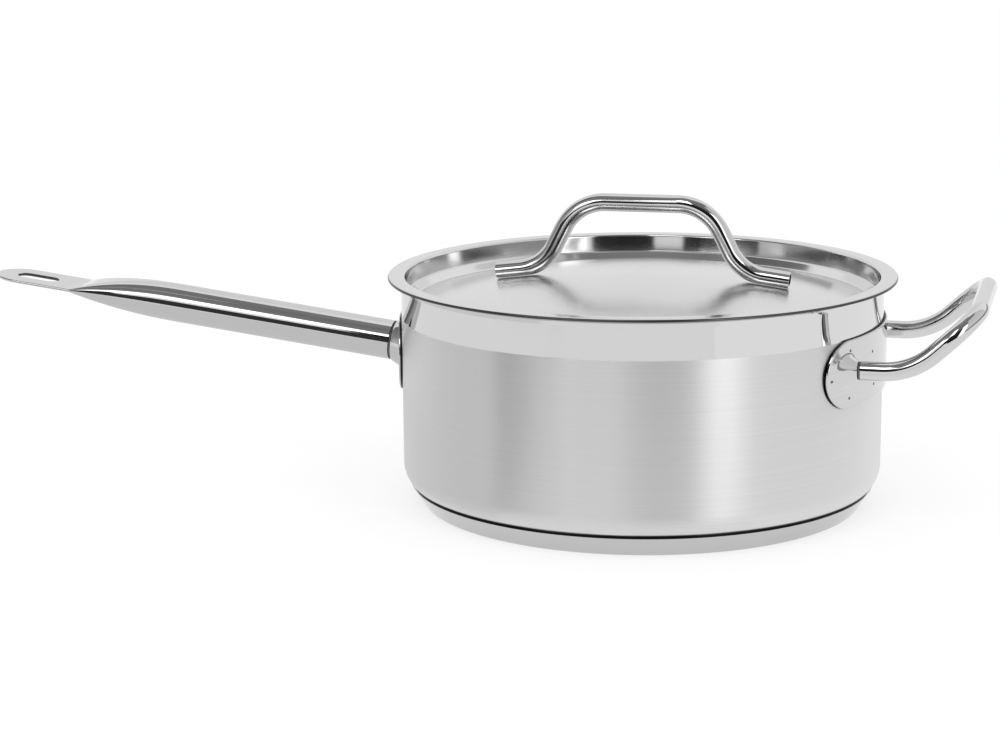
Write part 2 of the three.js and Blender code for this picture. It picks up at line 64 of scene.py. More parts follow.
def camera_axes(yaw, pitch, roll):
    """Right, up and backward axes: a heading turned by the yaw and dipped by the pitch, then rolled."""
    level_way = math.cos(pitch)
    ahead = np.array([-math.sin(yaw) * level_way, math.cos(yaw) * level_way, -math.sin(pitch)])
    right = np.array([math.cos(yaw), math.sin(yaw), 0])
    up = np.cross(right, ahead)
    rolled_right = math.cos(roll) * right + math.sin(roll) * up
    rolled_up = math.cos(roll) * up - math.sin(roll) * right
    return np.column_stack([rolled_right, rolled_up, -ahead])


def placed(axes, place):
    """A matrix with three axes as its columns, and a place."""
    matrix = np.eye(4)
    matrix[:3, :3], matrix[:3, 3] = axes, place
    return Matrix(matrix.tolist())


def in_scene(name, data):
    """A new object of a mesh, lamp or camera, linked to the scene."""
    thing = bpy.data.objects.new(name, data)
    bpy.context.scene.collection.objects.link(thing)
    return thing


lens = bpy.data.cameras.new("camera")
lens.sensor_fit = "HORIZONTAL"
lens.sensor_width = SENSOR_WIDTH
lens.lens = CAMERA_LENS
camera = in_scene("camera", lens)
camera.matrix_world = placed(camera_axes(CAMERA_YAW, CAMERA_PITCH, CAMERA_ROLL), CAMERA_PLACE)
bpy.context.scene.camera = camera
print("camera", CAMERA_PLACE, "lens", CAMERA_LENS, "mm")

# %% [markdown]
# ## From points to a mesh
# Every surface here is a grid: rows of points along a profile or a path, and columns round it. Two
# neighbouring rows and columns make a quad, so all the faces come from one sum on row and column numbers.
# Points that fall together, at the poles and where an arc meets a straight, are merged, and then all faces
# are turned outwards.

# %% Grid helpers
MM = 0.001
MERGE = 1e-6
CREASE_ANGLE = math.radians(38)
CUBIC_CM = 1e-6


def stitch(rows, columns, wrap_rows=False, wrap_columns=True):
    """Quads of a grid numbered row by row: each takes a point, the next in its column, row and both."""
    row = np.arange(rows if wrap_rows else rows - 1)[:, None]
    column = np.arange(columns if wrap_columns else columns - 1)[None, :]
    below, beside = (row + 1) % rows, (column + 1) % columns
    corners = (row * columns + column, below * columns + column,
               below * columns + beside, row * columns + beside)
    return np.stack(np.broadcast_arrays(*corners), axis=-1).reshape(-1, 4)


def mesh_of(name, points, faces):
    """A mesh from a grid of points in metres and its faces."""
    mesh = bpy.data.meshes.new(name)
    mesh.from_pydata(points.reshape(-1, 3).tolist(), [], faces.tolist())
    return mesh


def make_piece(name, points, faces, body, slot, nodes=(), grain=None):
    """A closed mesh at the origin from points in millimetres, with its body and CAD nodes; its finish slot is
    not used.
    """
    mesh = mesh_of(name, points * MM, faces)
    if grain is not None:
        stored = mesh.attributes.new("grain", "FLOAT_VECTOR", "POINT")
        stored.data.foreach_set("vector", grain.astype("f4").ravel())
    shell = bmesh.new()
    shell.from_mesh(mesh)
    bmesh.ops.remove_doubles(shell, verts=shell.verts, dist=MERGE)
    bmesh.ops.recalc_face_normals(shell, faces=shell.faces)
    open_edges = sum(not edge.is_manifold for edge in shell.edges)
    volume = shell.calc_volume(signed=True) / CUBIC_CM
    shell.to_mesh(mesh)
    shell.free()
    mesh.shade_smooth()
    mesh.set_sharp_from_angle(angle=CREASE_ANGLE)
    piece = in_scene(name, mesh)
    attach(piece, body)
    if nodes:
        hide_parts(*nodes)
    print(f"{name}: {len(mesh.polygons)} faces, {open_edges} open edges, {volume:.1f} cm3")
    return piece


# %% [markdown]
# ## Turned profiles
# The pot, the base and the lid are round, as they come off a press and a spinning lathe. A Screw modifier
# could turn a curve, but a profile in numbers can share its sizes with its neighbours. Straights are cut
# closer together near their ends, so that the shading next to a bend doesn't leak into the flat.

# %% Profile helpers
TURN_SEGMENTS = 320
BEND_STEPS = 14
STRAIGHT_STEPS = 14
SAME_POINT = 1e-6


def bend(r, z, radius, start, end, steps=BEND_STEPS):
    """Points of an arc: the centre plus the radius times the cosine and sine of evenly spaced angles."""
    angle = np.radians(np.linspace(start, end, steps + 1))
    return np.column_stack([r + radius * np.cos(angle), z + radius * np.sin(angle)])


def straight(start, end, steps=STRAIGHT_STEPS):
    """Points of a line at cosine-eased shares of its length, close together at both ends."""
    share = (1 - np.cos(np.linspace(0, np.pi, steps + 1))) / 2
    return np.asarray(start, float) + share[:, None] * (np.asarray(end, float) - np.asarray(start, float))


def without_repeats(line):
    """The line without points that repeat the one before."""
    moved = np.linalg.norm(np.diff(line, axis=0), axis=1) > SAME_POINT
    return line[np.concatenate([[True], moved])]


def sheet(line, thickness):
    """A sheet's outline: the line, then backwards the line moved sideways by the thickness.

    A corner moves along the middle of its two normals, further by one over their cosine, as a mitre does."""
    step = np.diff(line, axis=0)
    normal = np.column_stack([-step[:, 1], step[:, 0]]) / np.linalg.norm(step, axis=1, keepdims=True)
    before, after = np.vstack([normal[:1], normal]), np.vstack([normal, normal[-1:]])
    middle = before + after
    middle /= np.linalg.norm(middle, axis=1, keepdims=True)
    moved = line + thickness * middle / np.sum(middle * before, axis=1, keepdims=True)
    moved[0, 0] = 0
    return np.vstack([line, moved[::-1]])


def turned(profile, segments=TURN_SEGMENTS):
    """Turn radius and height about Z: x is r times the cosine of the angle, y is r times its sine."""
    angle = np.linspace(0, 2 * np.pi, segments, endpoint=False)
    r, z = profile[:, :1], profile[:, 1:]
    points = np.stack(np.broadcast_arrays(r * np.cos(angle), r * np.sin(angle), z), axis=-1)
    return points, stitch(len(profile), segments)


# %% [markdown]
# ## Pot
# The pot is drawn from one disc of sheet: a flat floor, a rounded corner, a straight wall, and a lip rolled
# outwards so that it pours cleanly. Its profile runs from the axis under the floor, up the outside, over
# the lip and back down the inside to the axis, which closes the shape without any modifier.

# %% Pot
POT_RADIUS, POT_WALL = 121.0, 1.0
POT_UNDERSIDE, POT_RIM = 7.0, 114.5
POT_CORNER = 13.0
LIP_FLARE, LIP_WIDTH = 3.0, 1.2

pot_inside, pot_floor = POT_RADIUS - POT_WALL, POT_UNDERSIDE + POT_WALL
corner_ring, corner_height = POT_RADIUS - POT_CORNER, POT_UNDERSIDE + POT_CORNER
flare_ring, flare_height = POT_RADIUS + LIP_FLARE, POT_RIM - POT_WALL - LIP_FLARE
lip_edge = flare_ring + LIP_WIDTH - POT_WALL / 2
pot_profile = np.vstack([
    straight((0, POT_UNDERSIDE), (corner_ring, POT_UNDERSIDE)),
    bend(corner_ring, corner_height, POT_CORNER, -90, 0),
    straight((POT_RADIUS, corner_height), (POT_RADIUS, flare_height), 2 * STRAIGHT_STEPS),
    bend(flare_ring, flare_height, LIP_FLARE, 180, 90),
    bend(lip_edge, POT_RIM - POT_WALL / 2, POT_WALL / 2, -90, 90),
    bend(flare_ring, flare_height, LIP_FLARE + POT_WALL, 90, 180),
    straight((pot_inside, flare_height), (pot_inside, corner_height), 2 * STRAIGHT_STEPS),
    bend(corner_ring, corner_height, POT_CORNER - POT_WALL, 0, -90),
    straight((corner_ring, pot_floor), (0, pot_floor)),
])
pot = make_piece("pot", *turned(without_repeats(pot_profile)), "pan", "pot_steel", ["pot_shell"])

# %% [markdown]
# ## Thick base
# A disc of aluminium spreads the heat, and a thin steel cap is pressed round it and brazed on. The cap's
# side slants outwards and stops just short of the pot's corner, which leaves the dark groove round the
# foot. Cap and core are turned too, and the core's top follows the pot's corner.

# %% Base cap and core
SEAT_GAP = 0.3
CAP_SHEET, CAP_HEIGHT, CAP_TAPER, CAP_FOOT_ROUND = 0.8, 9.6, 6.0, 1.6
CAP_SIDE_START = 0.8
GROOVE_WIDTH, CORE_RIM_DROP = 0.8, 1.6

pot_reach = corner_ring + math.sqrt(POT_CORNER ** 2 - (corner_height - CAP_HEIGHT) ** 2)
cap_rim = pot_reach + GROOVE_WIDTH + CAP_SHEET
cap_slant = math.atan2(CAP_HEIGHT, CAP_TAPER)
foot_ring = cap_rim - CAP_TAPER - CAP_FOOT_ROUND * math.tan(cap_slant / 2)
side_start = (cap_rim - (1 - CAP_SIDE_START) * CAP_TAPER, CAP_SIDE_START * CAP_HEIGHT)
cap_line = without_repeats(np.vstack([
    straight((0, 0), (foot_ring, 0)),
    bend(foot_ring, CAP_FOOT_ROUND, CAP_FOOT_ROUND, -90, math.degrees(cap_slant) - 90),
    straight(side_start, (cap_rim, CAP_HEIGHT)),
]))
cap_grid = turned(sheet(cap_line, CAP_SHEET))
base_cap = make_piece("base_cap_skin", *cap_grid, "pan", "base_steel", ["base_cap"])

core_height = CAP_HEIGHT - CORE_RIM_DROP
core_under = sheet(cap_line, CAP_SHEET + SEAT_GAP)[len(cap_line):][::-1]
core_under = core_under[core_under[:, 1] < core_height]
core_seat = POT_CORNER + SEAT_GAP
seat_angle = math.degrees(math.asin((core_height - corner_height) / core_seat))
core_profile = np.vstack([
    core_under,
    bend(corner_ring, corner_height, core_seat, seat_angle, -90),
    straight((corner_ring, POT_UNDERSIDE - SEAT_GAP), (0, POT_UNDERSIDE - SEAT_GAP)),
])
core_grid = turned(without_repeats(core_profile))
base_core = make_piece("base_core_disc", *core_grid, "pan", "core_aluminium", ["base_core"])

# %% [markdown]
# ## Lid
# The lid is one pressed sheet. Its flange rests on the rim, a slightly slanted wall fits inside the pot, a
# small step and a sloping band lead down to a channel, and the middle rises again in a shallow dome that
# lets drops run back. Only the upper line is written down, and the underside is that line moved by the
# sheet's thickness.

# %% Lid sheet
LID_SHEET, LID_TOP = 0.9, 115.7
LID_WALL_RING, LID_EDGE_RING = 118.0, 127.6
LID_WALL_DEPTH, LID_WALL_DRAFT, LID_WALL_BEND = 9.1, 0.9, 1.4
LID_STEP, STEP_ROUND = 0.8, 0.2
CHANNEL_RING, CHANNEL_HEIGHT, CHANNEL_ROUND = 113.4, 102.3, 1.5
CHANNEL_FROM, CHANNEL_TO = -103, -33
DOME_RISE, DOME_STEPS = 13.1, 40
EDGE_ROUND, EDGE_TURN = 1.0, 0.4
BAND_CUTS, STEP_CUTS, TURN_CUTS = 8, 3, 4


def dome_height(r):
    """Height of the lid's middle: the rise less a share that grows with the square of the radius."""
    return CHANNEL_HEIGHT + DOME_RISE * (1 - (r / CHANNEL_RING) ** 2)


dome_r = np.linspace(0, CHANNEL_RING - STEP_ROUND, DOME_STEPS)
step_height = LID_TOP - LID_WALL_DEPTH
step_ring, step_middle = LID_WALL_RING - LID_STEP, step_height - LID_STEP / 2
wall_top_ring, wall_top = LID_WALL_RING + LID_WALL_DRAFT + LID_WALL_BEND, LID_TOP - LID_WALL_BEND
draft_angle = math.degrees(math.atan2(LID_WALL_DRAFT, wall_top - step_height))
edge_bend_ring, edge_bend_height = LID_EDGE_RING - EDGE_ROUND, LID_TOP - EDGE_ROUND
channel = bend(CHANNEL_RING + STEP_ROUND, CHANNEL_HEIGHT + CHANNEL_ROUND, CHANNEL_ROUND,
               CHANNEL_FROM, CHANNEL_TO)
wall_bend = bend(wall_top_ring, wall_top, LID_WALL_BEND, 180 - draft_angle, 90)
lid_line = without_repeats(np.vstack([
    np.column_stack([dome_r, dome_height(dome_r)]),
    channel,
    straight(channel[-1], (step_ring - STEP_ROUND / 2, step_middle - STEP_ROUND), BAND_CUTS),
    straight((step_ring + STEP_ROUND, step_middle + STEP_ROUND / 2),
             (LID_WALL_RING - STEP_ROUND, step_height - STEP_ROUND / 2), STEP_CUTS),
    straight((LID_WALL_RING, step_height + STEP_ROUND), wall_bend[0]),
    wall_bend,
    straight((wall_top_ring, LID_TOP), (edge_bend_ring, LID_TOP)),
    bend(edge_bend_ring, edge_bend_height, EDGE_ROUND, 90, 0),
    straight((LID_EDGE_RING, edge_bend_height), (LID_EDGE_RING, edge_bend_height - EDGE_TURN), TURN_CUTS),
]))
lid = make_piece("lid", *turned(sheet(lid_line, -LID_SHEET)), "lid", "lid_steel", ["lid_pan"])

# %% [markdown]
# ## Bent tubes
# The lid handle and the helper handle are bent from thin tubes of nearly the same size on a bending former,
# so their paths are straights joined by true arcs. A bevelled curve could show this, but a section that is
# carried along can also be pressed flat at the feet. Each path is cut into equal short steps before
# the section is carried along it.

# %% Path helpers
PATH_STEP = 1.0
ARC_STEPS = 48


def bent_path(corners, radii):
    """Straights with arcs, cut evenly: an arc starts its setback before its corner.

    The setback is the radius times the tangent of half the turn."""
    corners = np.asarray(corners, float)
    legs = np.diff(corners, axis=0)
    heading = legs / np.linalg.norm(legs, axis=1, keepdims=True)
    points = [corners[:1]]
    for corner, into, out, radius in zip(corners[1:-1], heading[:-1], heading[1:], radii):
        turn = math.acos(into @ out)
        side = (out - (out @ into) * into) / math.sin(turn)
        angle = np.linspace(0, turn, ARC_STEPS + 1)[:, None]
        start = corner - radius * math.tan(turn / 2) * into
        points.append(start + radius * (np.sin(angle) * into + (1 - np.cos(angle)) * side))
    points = np.vstack([*points, corners[-1:]])
    length = np.concatenate([[0], np.cumsum(np.linalg.norm(np.diff(points, axis=0), axis=1))])
    even = np.linspace(0, length[-1], int(length[-1] / PATH_STEP) + 1)
    return np.column_stack([np.interp(even, length, points[:, k]) for k in range(3)]), even


def carried(path, section, upright):
    """A section carried along a path: its first number goes to the side and its second up.

    The side is the heading times the upright direction."""
    heading = np.gradient(path, axis=0)
    heading /= np.linalg.norm(heading, axis=1, keepdims=True)
    side = np.cross(heading, upright)
    side /= np.linalg.norm(side, axis=1, keepdims=True)
    up = np.cross(side, heading)
    return path[:, None] + section[..., :1] * side[:, None] + section[..., 1:] * up[:, None]


def tube_grain(along, sides):
    """Where a point lies on a tube: cosine and sine of its angle round it, and its way along it in metres."""
    angle = np.linspace(0, 2 * np.pi, sides, endpoint=False)
    return np.stack(np.broadcast_arrays(np.cos(angle), np.sin(angle), along[:, None] * MM), axis=-1)


# %% [markdown]
# ## Lid handle
# An arch of tube whose two feet are pressed flat below and spot welded to the dome. The feet are left open,
# so the tube has an inner wall as well. A round section is carried along first, and then every point is
# held above the dome with a rounded maximum and moved out a little, as the sides of a tube bulge when it is
# pressed.

# %% Lid handle
ARCH_RADIUS, TUBE_WALL, TUBE_SIDES = 4.5, 1.2, 56
ARCH_HALF, FOOT_LENGTH, LEG_RUN = 74.8, 24.5, 17.0
ARCH_HEIGHT, FOOT_FLAT = 40.6, 1.1
FOOT_BEND, ARCH_BEND = 22.0, 24.0
PRESS_SPREAD, PRESS_ROUND = 0.22, 0.5

foot_start = ARCH_HALF - FOOT_LENGTH
foot_fall = math.atan2(dome_height(foot_start) - dome_height(ARCH_HALF), FOOT_LENGTH)
foot_lift = (SEAT_GAP + ARCH_RADIUS - FOOT_FLAT) / math.cos(foot_fall)
half_arch = np.array([
    [ARCH_HALF, 0, dome_height(ARCH_HALF) + foot_lift],
    [foot_start, 0, dome_height(foot_start) + foot_lift],
    [foot_start - LEG_RUN, 0, dome_height(ARCH_HALF) + ARCH_HEIGHT],
])
arch_corners = np.vstack([half_arch * [-1, 1, 1], half_arch[::-1]])
arch_path, arch_along = bent_path(arch_corners, [FOOT_BEND, ARCH_BEND, ARCH_BEND, FOOT_BEND])
circle = np.linspace(0, 2 * np.pi, TUBE_SIDES, endpoint=False)
round_section = np.column_stack([np.cos(circle), np.sin(circle)])


def smooth_max(a, b, width):
    """The larger of two numbers, rounded over where they are within about a width of each other."""
    return (a + b + np.sqrt((a - b) ** 2 + width ** 2)) / 2


def pressed_on_dome(radius, gap):
    """A tube along the arch, held a gap above the dome; a ring widens by a share of the height it loses."""
    tube = carried(arch_path, radius * round_section, (0, 0, 1))
    dome = dome_height(np.hypot(tube[..., 0], tube[..., 1]))
    held = smooth_max(tube[..., 2], dome + gap, PRESS_ROUND)
    lost = (held - tube[..., 2]).max(axis=1, keepdims=True) / radius
    return np.stack([tube[..., 0], tube[..., 1] * (1 + PRESS_SPREAD * lost), held], axis=-1)


outer = pressed_on_dome(ARCH_RADIUS, SEAT_GAP)
bore = pressed_on_dome(ARCH_RADIUS - TUBE_WALL, SEAT_GAP + TUBE_WALL)
arch = np.concatenate([outer, bore[::-1]])
arch_faces = stitch(len(arch), TUBE_SIDES, wrap_rows=True)
arch_grain = tube_grain(np.concatenate([arch_along, arch_along[::-1]]), TUBE_SIDES)
lid_handle = make_piece("lid_handle_tube", arch, arch_faces, "lid", "tube_steel", ["lid_handle"], arch_grain)

# %% [markdown]
# ## Helper handle
# The second hand's handle is one tube bent four times: its legs leave the bracket level, rise together and
# meet in a loop. All its headings are clear of the loop's own normal, so that one fixed direction can keep
# the section from twisting along the whole path. Its ends butt on the bracket and are closed with a point.

# %% Helper handle
HELPER_RADIUS = 4.55
HELPER_HALF, HELPER_HEIGHT = 52.1, 80.9
HELPER_REACH, HELPER_RISE, HELPER_SLOPE = 48.7, 27.4, math.radians(42.9)
HELPER_BEND, HELPER_CORNER = 35.0, 20.0
BRACKET_SHEET = 1.5
HELPER_BOSS_DEPTH, WELD_GAP = 4.0, 1.2

plate_seat = POT_RADIUS + SEAT_GAP
plate_face = plate_seat + BRACKET_SHEET
helper_face = math.sqrt(plate_face ** 2 - HELPER_HALF ** 2)
helper_boss = helper_face + HELPER_BOSS_DEPTH
helper_end = POT_RADIUS + HELPER_REACH
helper_leg = np.array([
    [helper_boss + WELD_GAP, -HELPER_HALF, HELPER_HEIGHT],
    [helper_end - HELPER_RISE / math.tan(HELPER_SLOPE), -HELPER_HALF, HELPER_HEIGHT],
    [helper_end, -HELPER_HALF, HELPER_HEIGHT + HELPER_RISE],
])
helper_corners = np.vstack([helper_leg, helper_leg[::-1] * [1, -1, 1]])
helper_bends = [HELPER_BEND, HELPER_CORNER, HELPER_CORNER, HELPER_BEND]
helper_path, helper_along = bent_path(helper_corners, helper_bends)
loop_normal = (-math.sin(HELPER_SLOPE), 0, math.cos(HELPER_SLOPE))


def closed_ends(grid):
    """The grid with its first and last rows drawn to their middles, which closes both ends."""
    ends = [np.broadcast_to(row.mean(axis=0), row.shape)[None] for row in (grid[0], grid[-1])]
    return np.concatenate([ends[0], grid, ends[1]])


helper_grid = closed_ends(carried(helper_path, HELPER_RADIUS * round_section, loop_normal))
helper_grain = tube_grain(np.concatenate([[0], helper_along, helper_along[-1:]]), TUBE_SIDES)
helper_handle = make_piece("helper_handle_tube", helper_grid, stitch(len(helper_grid), TUBE_SIDES),
                           "pan", "tube_steel", ["helper_handle"], helper_grain)

# %% [markdown]
# ## Sections of the long handle
# A thicker tube whose far end is pressed until its walls meet in a flat tab. Pressing keeps the distance
# round the tube, so each section is a pair of flats with two round edges and always the same girth. The
# half thickness falls along the pinch with a power of the distance, which leaves the crease where the tab
# begins.

# %% Long handle's sections
HANDLE_RADIUS, HANDLE_WALL, HANDLE_LENGTH = 10.2, 0.8, 222.8
PINCH_LENGTH, PINCH_POWER, TAB_LENGTH = 60.0, 2.4, 47.0
EDGE_SHARE, TINY = 0.35, 1e-9

tab_start = HANDLE_LENGTH - TAB_LENGTH
tab_reach = math.pi * (HANDLE_RADIUS - HANDLE_WALL) / 2 + HANDLE_WALL
tip_start = HANDLE_LENGTH - tab_reach


def half_thickness(s):
    """Half the tube's thickness: the wall, plus the rest of the radius times what is left of it.

    What is left is one minus a power of the share of the pinch that is passed."""
    left = np.clip((tab_start - s) / PINCH_LENGTH, 0, 1)
    return HANDLE_WALL + (HANDLE_RADIUS - HANDLE_WALL) * (1 - (1 - left) ** PINCH_POWER)


def half_flat(s):
    """Half of each flat: what keeps the girth, cut down to a half circle of the tab's reach at the tip."""
    kept = math.pi * (HANDLE_RADIUS - half_thickness(s)) / 2
    into_tip = np.clip(s - tip_start, 0, tab_reach)
    return np.clip(np.minimum(kept, np.sqrt(tab_reach ** 2 - into_tip ** 2) - half_thickness(s)), 0, None)


def flattened(share, flat, half):
    """Section points by the share of the way round from the top: a flat, a round edge and the other flat.

    A round edge gets its share of the girth, or EDGE_SHARE of the points if that is more."""
    side = np.where(share <= 0.5, 1, -1)
    way = 2 * np.minimum(share, 1 - share)
    edge_share = np.maximum(np.pi * half / (2 * flat + np.pi * half), EDGE_SHARE)
    flat_share = np.maximum((1 - edge_share) / 2, TINY)
    there = np.clip(way / flat_share, 0, 1)
    edge = np.pi * np.clip((way - flat_share) / edge_share, 0, 1)
    back = np.clip((way - flat_share - edge_share) / flat_share, 0, 1)
    return side * (flat * (there - back) + half * np.sin(edge)), half * np.cos(edge)


print(f"tab: {2 * HANDLE_WALL} mm thick, {2 * tab_reach:.1f} mm wide")

# %% [markdown]
# ## Long handle
# The sections stand close together where the shape changes fast, towards the tab and round its tip, and far
# apart on the plain tube. The handle leaves its bracket with a small upward tilt, so one function turns the
# handle's own way along, across and up into the pan's frame. The slot and the weld bead use it again.

# %% Long handle
HANDLE_HEIGHT, HANDLE_TILT = 73.9, math.radians(7.2)
BOSS_DEPTH = 7.4
HANDLE_SIDES, BARREL_STEPS, PINCH_STEPS, TAB_STEPS, TIP_STEPS = 128, 12, 70, 8, 28
PINCH_CROWD = 1.5

tip_angle = np.linspace(0, math.acos(HANDLE_WALL / tab_reach), TIP_STEPS + 1)
stations = np.concatenate([
    np.linspace(0, tab_start - PINCH_LENGTH, BARREL_STEPS),
    tab_start - PINCH_LENGTH * np.linspace(1, 0, PINCH_STEPS + 1)[1:] ** PINCH_CROWD,
    np.linspace(tab_start, tip_start, TAB_STEPS)[1:],
    tip_start + tab_reach * np.sin(tip_angle[1:]),
])[:, None]
share = np.linspace(0, 1, HANDLE_SIDES, endpoint=False)[None, :]
across, up = flattened(share, half_flat(stations), half_thickness(stations))


def on_handle(s, across, up):
    """From the handle's own way along, across and up to the pan's frame: tilted up and pointing along -X."""
    out = BOSS_DEPTH + WELD_GAP + s
    x = plate_face + out * math.cos(HANDLE_TILT) - up * math.sin(HANDLE_TILT)
    z = HANDLE_HEIGHT + out * math.sin(HANDLE_TILT) + up * math.cos(HANDLE_TILT)
    return np.stack(np.broadcast_arrays(-x, -across, z), axis=-1)


handle_grid = closed_ends(on_handle(stations, across, up))
handle_along = np.concatenate([[0], stations[:, 0], stations[-1]])
long_handle = make_piece("long_handle_tube", handle_grid, stitch(len(handle_grid), HANDLE_SIDES),
                         "pan", "tube_steel", ["long_handle"], tube_grain(handle_along, HANDLE_SIDES))

# %% [markdown]
# ## Hanging slot
# The slot is punched through the flat tab. A punch has no simple grid, so a Boolean modifier cuts the hole
# with a closed bar shaped like the punch. The bar flares a little where it leaves both faces, because the
# edges of a punched and polished slot are rounded over.

# %% Hanging slot
SLOT_LENGTH, SLOT_WIDTH, SLOT_INSET = 23.0, 10.0, 10.8
SLOT_EDGE = 0.3
SLOT_SIDES, SLOT_REACH = 64, 4.0

edge_level = HANDLE_WALL - SLOT_EDGE
slot_levels = np.array([-SLOT_REACH, -HANDLE_WALL, -edge_level, edge_level, HANDLE_WALL, SLOT_REACH])
slot_flare = SLOT_EDGE * (np.abs(slot_levels) > edge_level)
slot_angle = np.linspace(0, 2 * np.pi, SLOT_SIDES, endpoint=False) + np.pi / SLOT_SIDES
slot_radius = SLOT_WIDTH / 2 + slot_flare[:, None]
slot_middle = HANDLE_LENGTH - SLOT_INSET - SLOT_LENGTH / 2
slot_straight = (SLOT_LENGTH - SLOT_WIDTH) / 2
slot_along = slot_middle + np.sign(np.cos(slot_angle)) * slot_straight + slot_radius * np.cos(slot_angle)
slot_grid = closed_ends(on_handle(slot_along, slot_radius * np.sin(slot_angle), slot_levels[:, None]))
punch = make_piece("slot_punch", slot_grid, stitch(len(slot_grid), SLOT_SIDES), "pan", "tube_steel")
cut = long_handle.modifiers.new("hanging_slot", "BOOLEAN")
cut.operation = "DIFFERENCE"
cut.solver = "EXACT"
cut.object = punch
depsgraph = bpy.context.evaluated_depsgraph_get()
slotted = bpy.data.meshes.new_from_object(long_handle.evaluated_get(depsgraph))
long_handle.modifiers.clear()
long_handle.data = slotted
slotted.set_sharp_from_angle(angle=CREASE_ANGLE)
bpy.data.objects.remove(punch)
print("long handle with its slot:", len(slotted.polygons), "faces")

# %% [markdown]
# ## Brackets
# A handle this heavy would tear a thin wall, so each sits on a thicker plate bent round the pot and spot
# welded to it. The tube meets a boss pressed out of the plate. Each plate is a fan of rays from its boss to
# its edge: along a ray the height is the larger of the wall's curve and the boss's cone, with a rounded
# maximum as fillet.

# %% Bracket skins
FILLET = 1.6
BOSS_ROUND = 0.5


def boss_height(d, front, flare, depth):
    """Height of a boss over its seat: level to its front radius, then falling along a cone."""
    cone = depth - (d - front) * depth / flare
    return -smooth_max(-depth, -cone, BOSS_ROUND)


def plate_skin(across, climb, seat, tilt, radius, boss):
    """Points of a bent plate seen along its boss: the higher of wall curve and boss along the boss's axis.

    across and climb are measured from that axis, and seat is where it leaves the plate's face."""
    wall_y = seat[1] + across
    wall = (np.sqrt(radius ** 2 - wall_y ** 2) - seat[0] + climb * math.sin(tilt)) / math.cos(tilt)
    out = smooth_max(wall, boss_height(np.hypot(across, climb), *boss), FILLET)
    x = seat[0] + out * math.cos(tilt) - climb * math.sin(tilt)
    z = seat[2] + out * math.sin(tilt) + climb * math.cos(tilt)
    return np.stack(np.broadcast_arrays(x, wall_y, z), axis=-1)


def seen_along_boss(outline, seat, tilt):
    """Points of the plate's face, given as Y and height, as across and climb from a tilted boss."""
    x = np.sqrt(plate_face ** 2 - outline[..., 0] ** 2) - seat[0]
    return outline[..., 0] - seat[1], (outline[..., 1] - seat[2]) * math.cos(tilt) - x * math.sin(tilt)


# %% [markdown]
# A plate cut from thick sheet has edges that are broken with a file. A Bevel modifier would round the
# boss's edges too, so the plate's rim gets its own few rows of points between the front skin and the back
# skin. The outline comes from two small functions, for a round end and for a level edge.

# %% Bracket outlines
RIM_ROUND = 0.45
BOSS_LIP = 0.4
PLATE_RINGS, BOSS_RINGS, RIM_STEPS = 26, 34, 6
OUTLINE_STEPS = 90


def bent_plate(outline, inward, seat, tilt, boss):
    """Front skin, rim and back skin of a plate, row by row from the boss out to the outline and back.

    inward gives the direction from each outline point into the plate, or zero where the plate goes on."""
    front, flare, depth = boss
    edge_across, edge_climb = seen_along_boss(outline + RIM_ROUND * inward, seat, tilt)
    inner = (front + flare + FILLET) / np.hypot(edge_across, edge_climb)
    boss_share = inner * np.linspace(0, 1, BOSS_RINGS)[:, None]
    plate_share = inner + (1 - inner) * np.linspace(0, 1, PLATE_RINGS)[1:, None]
    share = np.concatenate([boss_share, plate_share])
    turn = np.radians(np.linspace(0, 90, RIM_STEPS))[1:, None]
    rim_line = outline + RIM_ROUND * (1 - np.sin(turn))[..., None] * inward
    rim_drop = RIM_ROUND * (1 - np.cos(turn)) * np.linalg.norm(inward, axis=1)
    skin = plate_skin(share * edge_across, share * edge_climb, seat, tilt, plate_face, boss)
    rim = plate_skin(*seen_along_boss(rim_line, seat, tilt), seat, tilt, plate_face - rim_drop, boss)
    back_boss = (front - BRACKET_SHEET, flare, depth - BRACKET_SHEET)
    back_edge = plate_skin(*seen_along_boss(outline[None], seat, tilt), seat, tilt, plate_seat, back_boss)
    back = plate_skin(share[::-1] * edge_across, share[::-1] * edge_climb, seat, tilt, plate_seat, back_boss)
    return np.concatenate([skin, rim, back_edge, back])


def round_end(half_length, half_height, end, centre_height):
    """The right end of a plate in Y and height, half an ellipse, with the direction into the plate."""
    angle = np.linspace(-np.pi / 2, np.pi / 2, OUTLINE_STEPS + 1)
    y, z = half_length - end + end * np.cos(angle), centre_height + half_height * np.sin(angle)
    inward = -np.column_stack([np.cos(angle) / end, np.sin(angle) / half_height])
    return np.column_stack([y, z]), inward / np.linalg.norm(inward, axis=1, keepdims=True)


def level_edge(y, height, into):
    """A level edge of a plate at each Y, with the direction into the plate, up or down."""
    return np.column_stack([y, np.full_like(y, height)]), np.tile([0.0, into], (len(y), 1))


# %% [markdown]
# The long handle's plate has two round ends and one boss, which leans with the handle. Half of its outline
# is written down, and the other half is the same one turned by half a turn about the boss, so the rays
# close into a full fan. The plate is made on the +X side and turned to the handle's side at the end.

# %% Long handle's bracket
BRACKET_HALF, BRACKET_RISE = 37.0, 20.0
BOSS_FLARE = 3.2
EDGE_STEPS = 70
TO_HANDLE_SIDE = [-1, -1, 1]

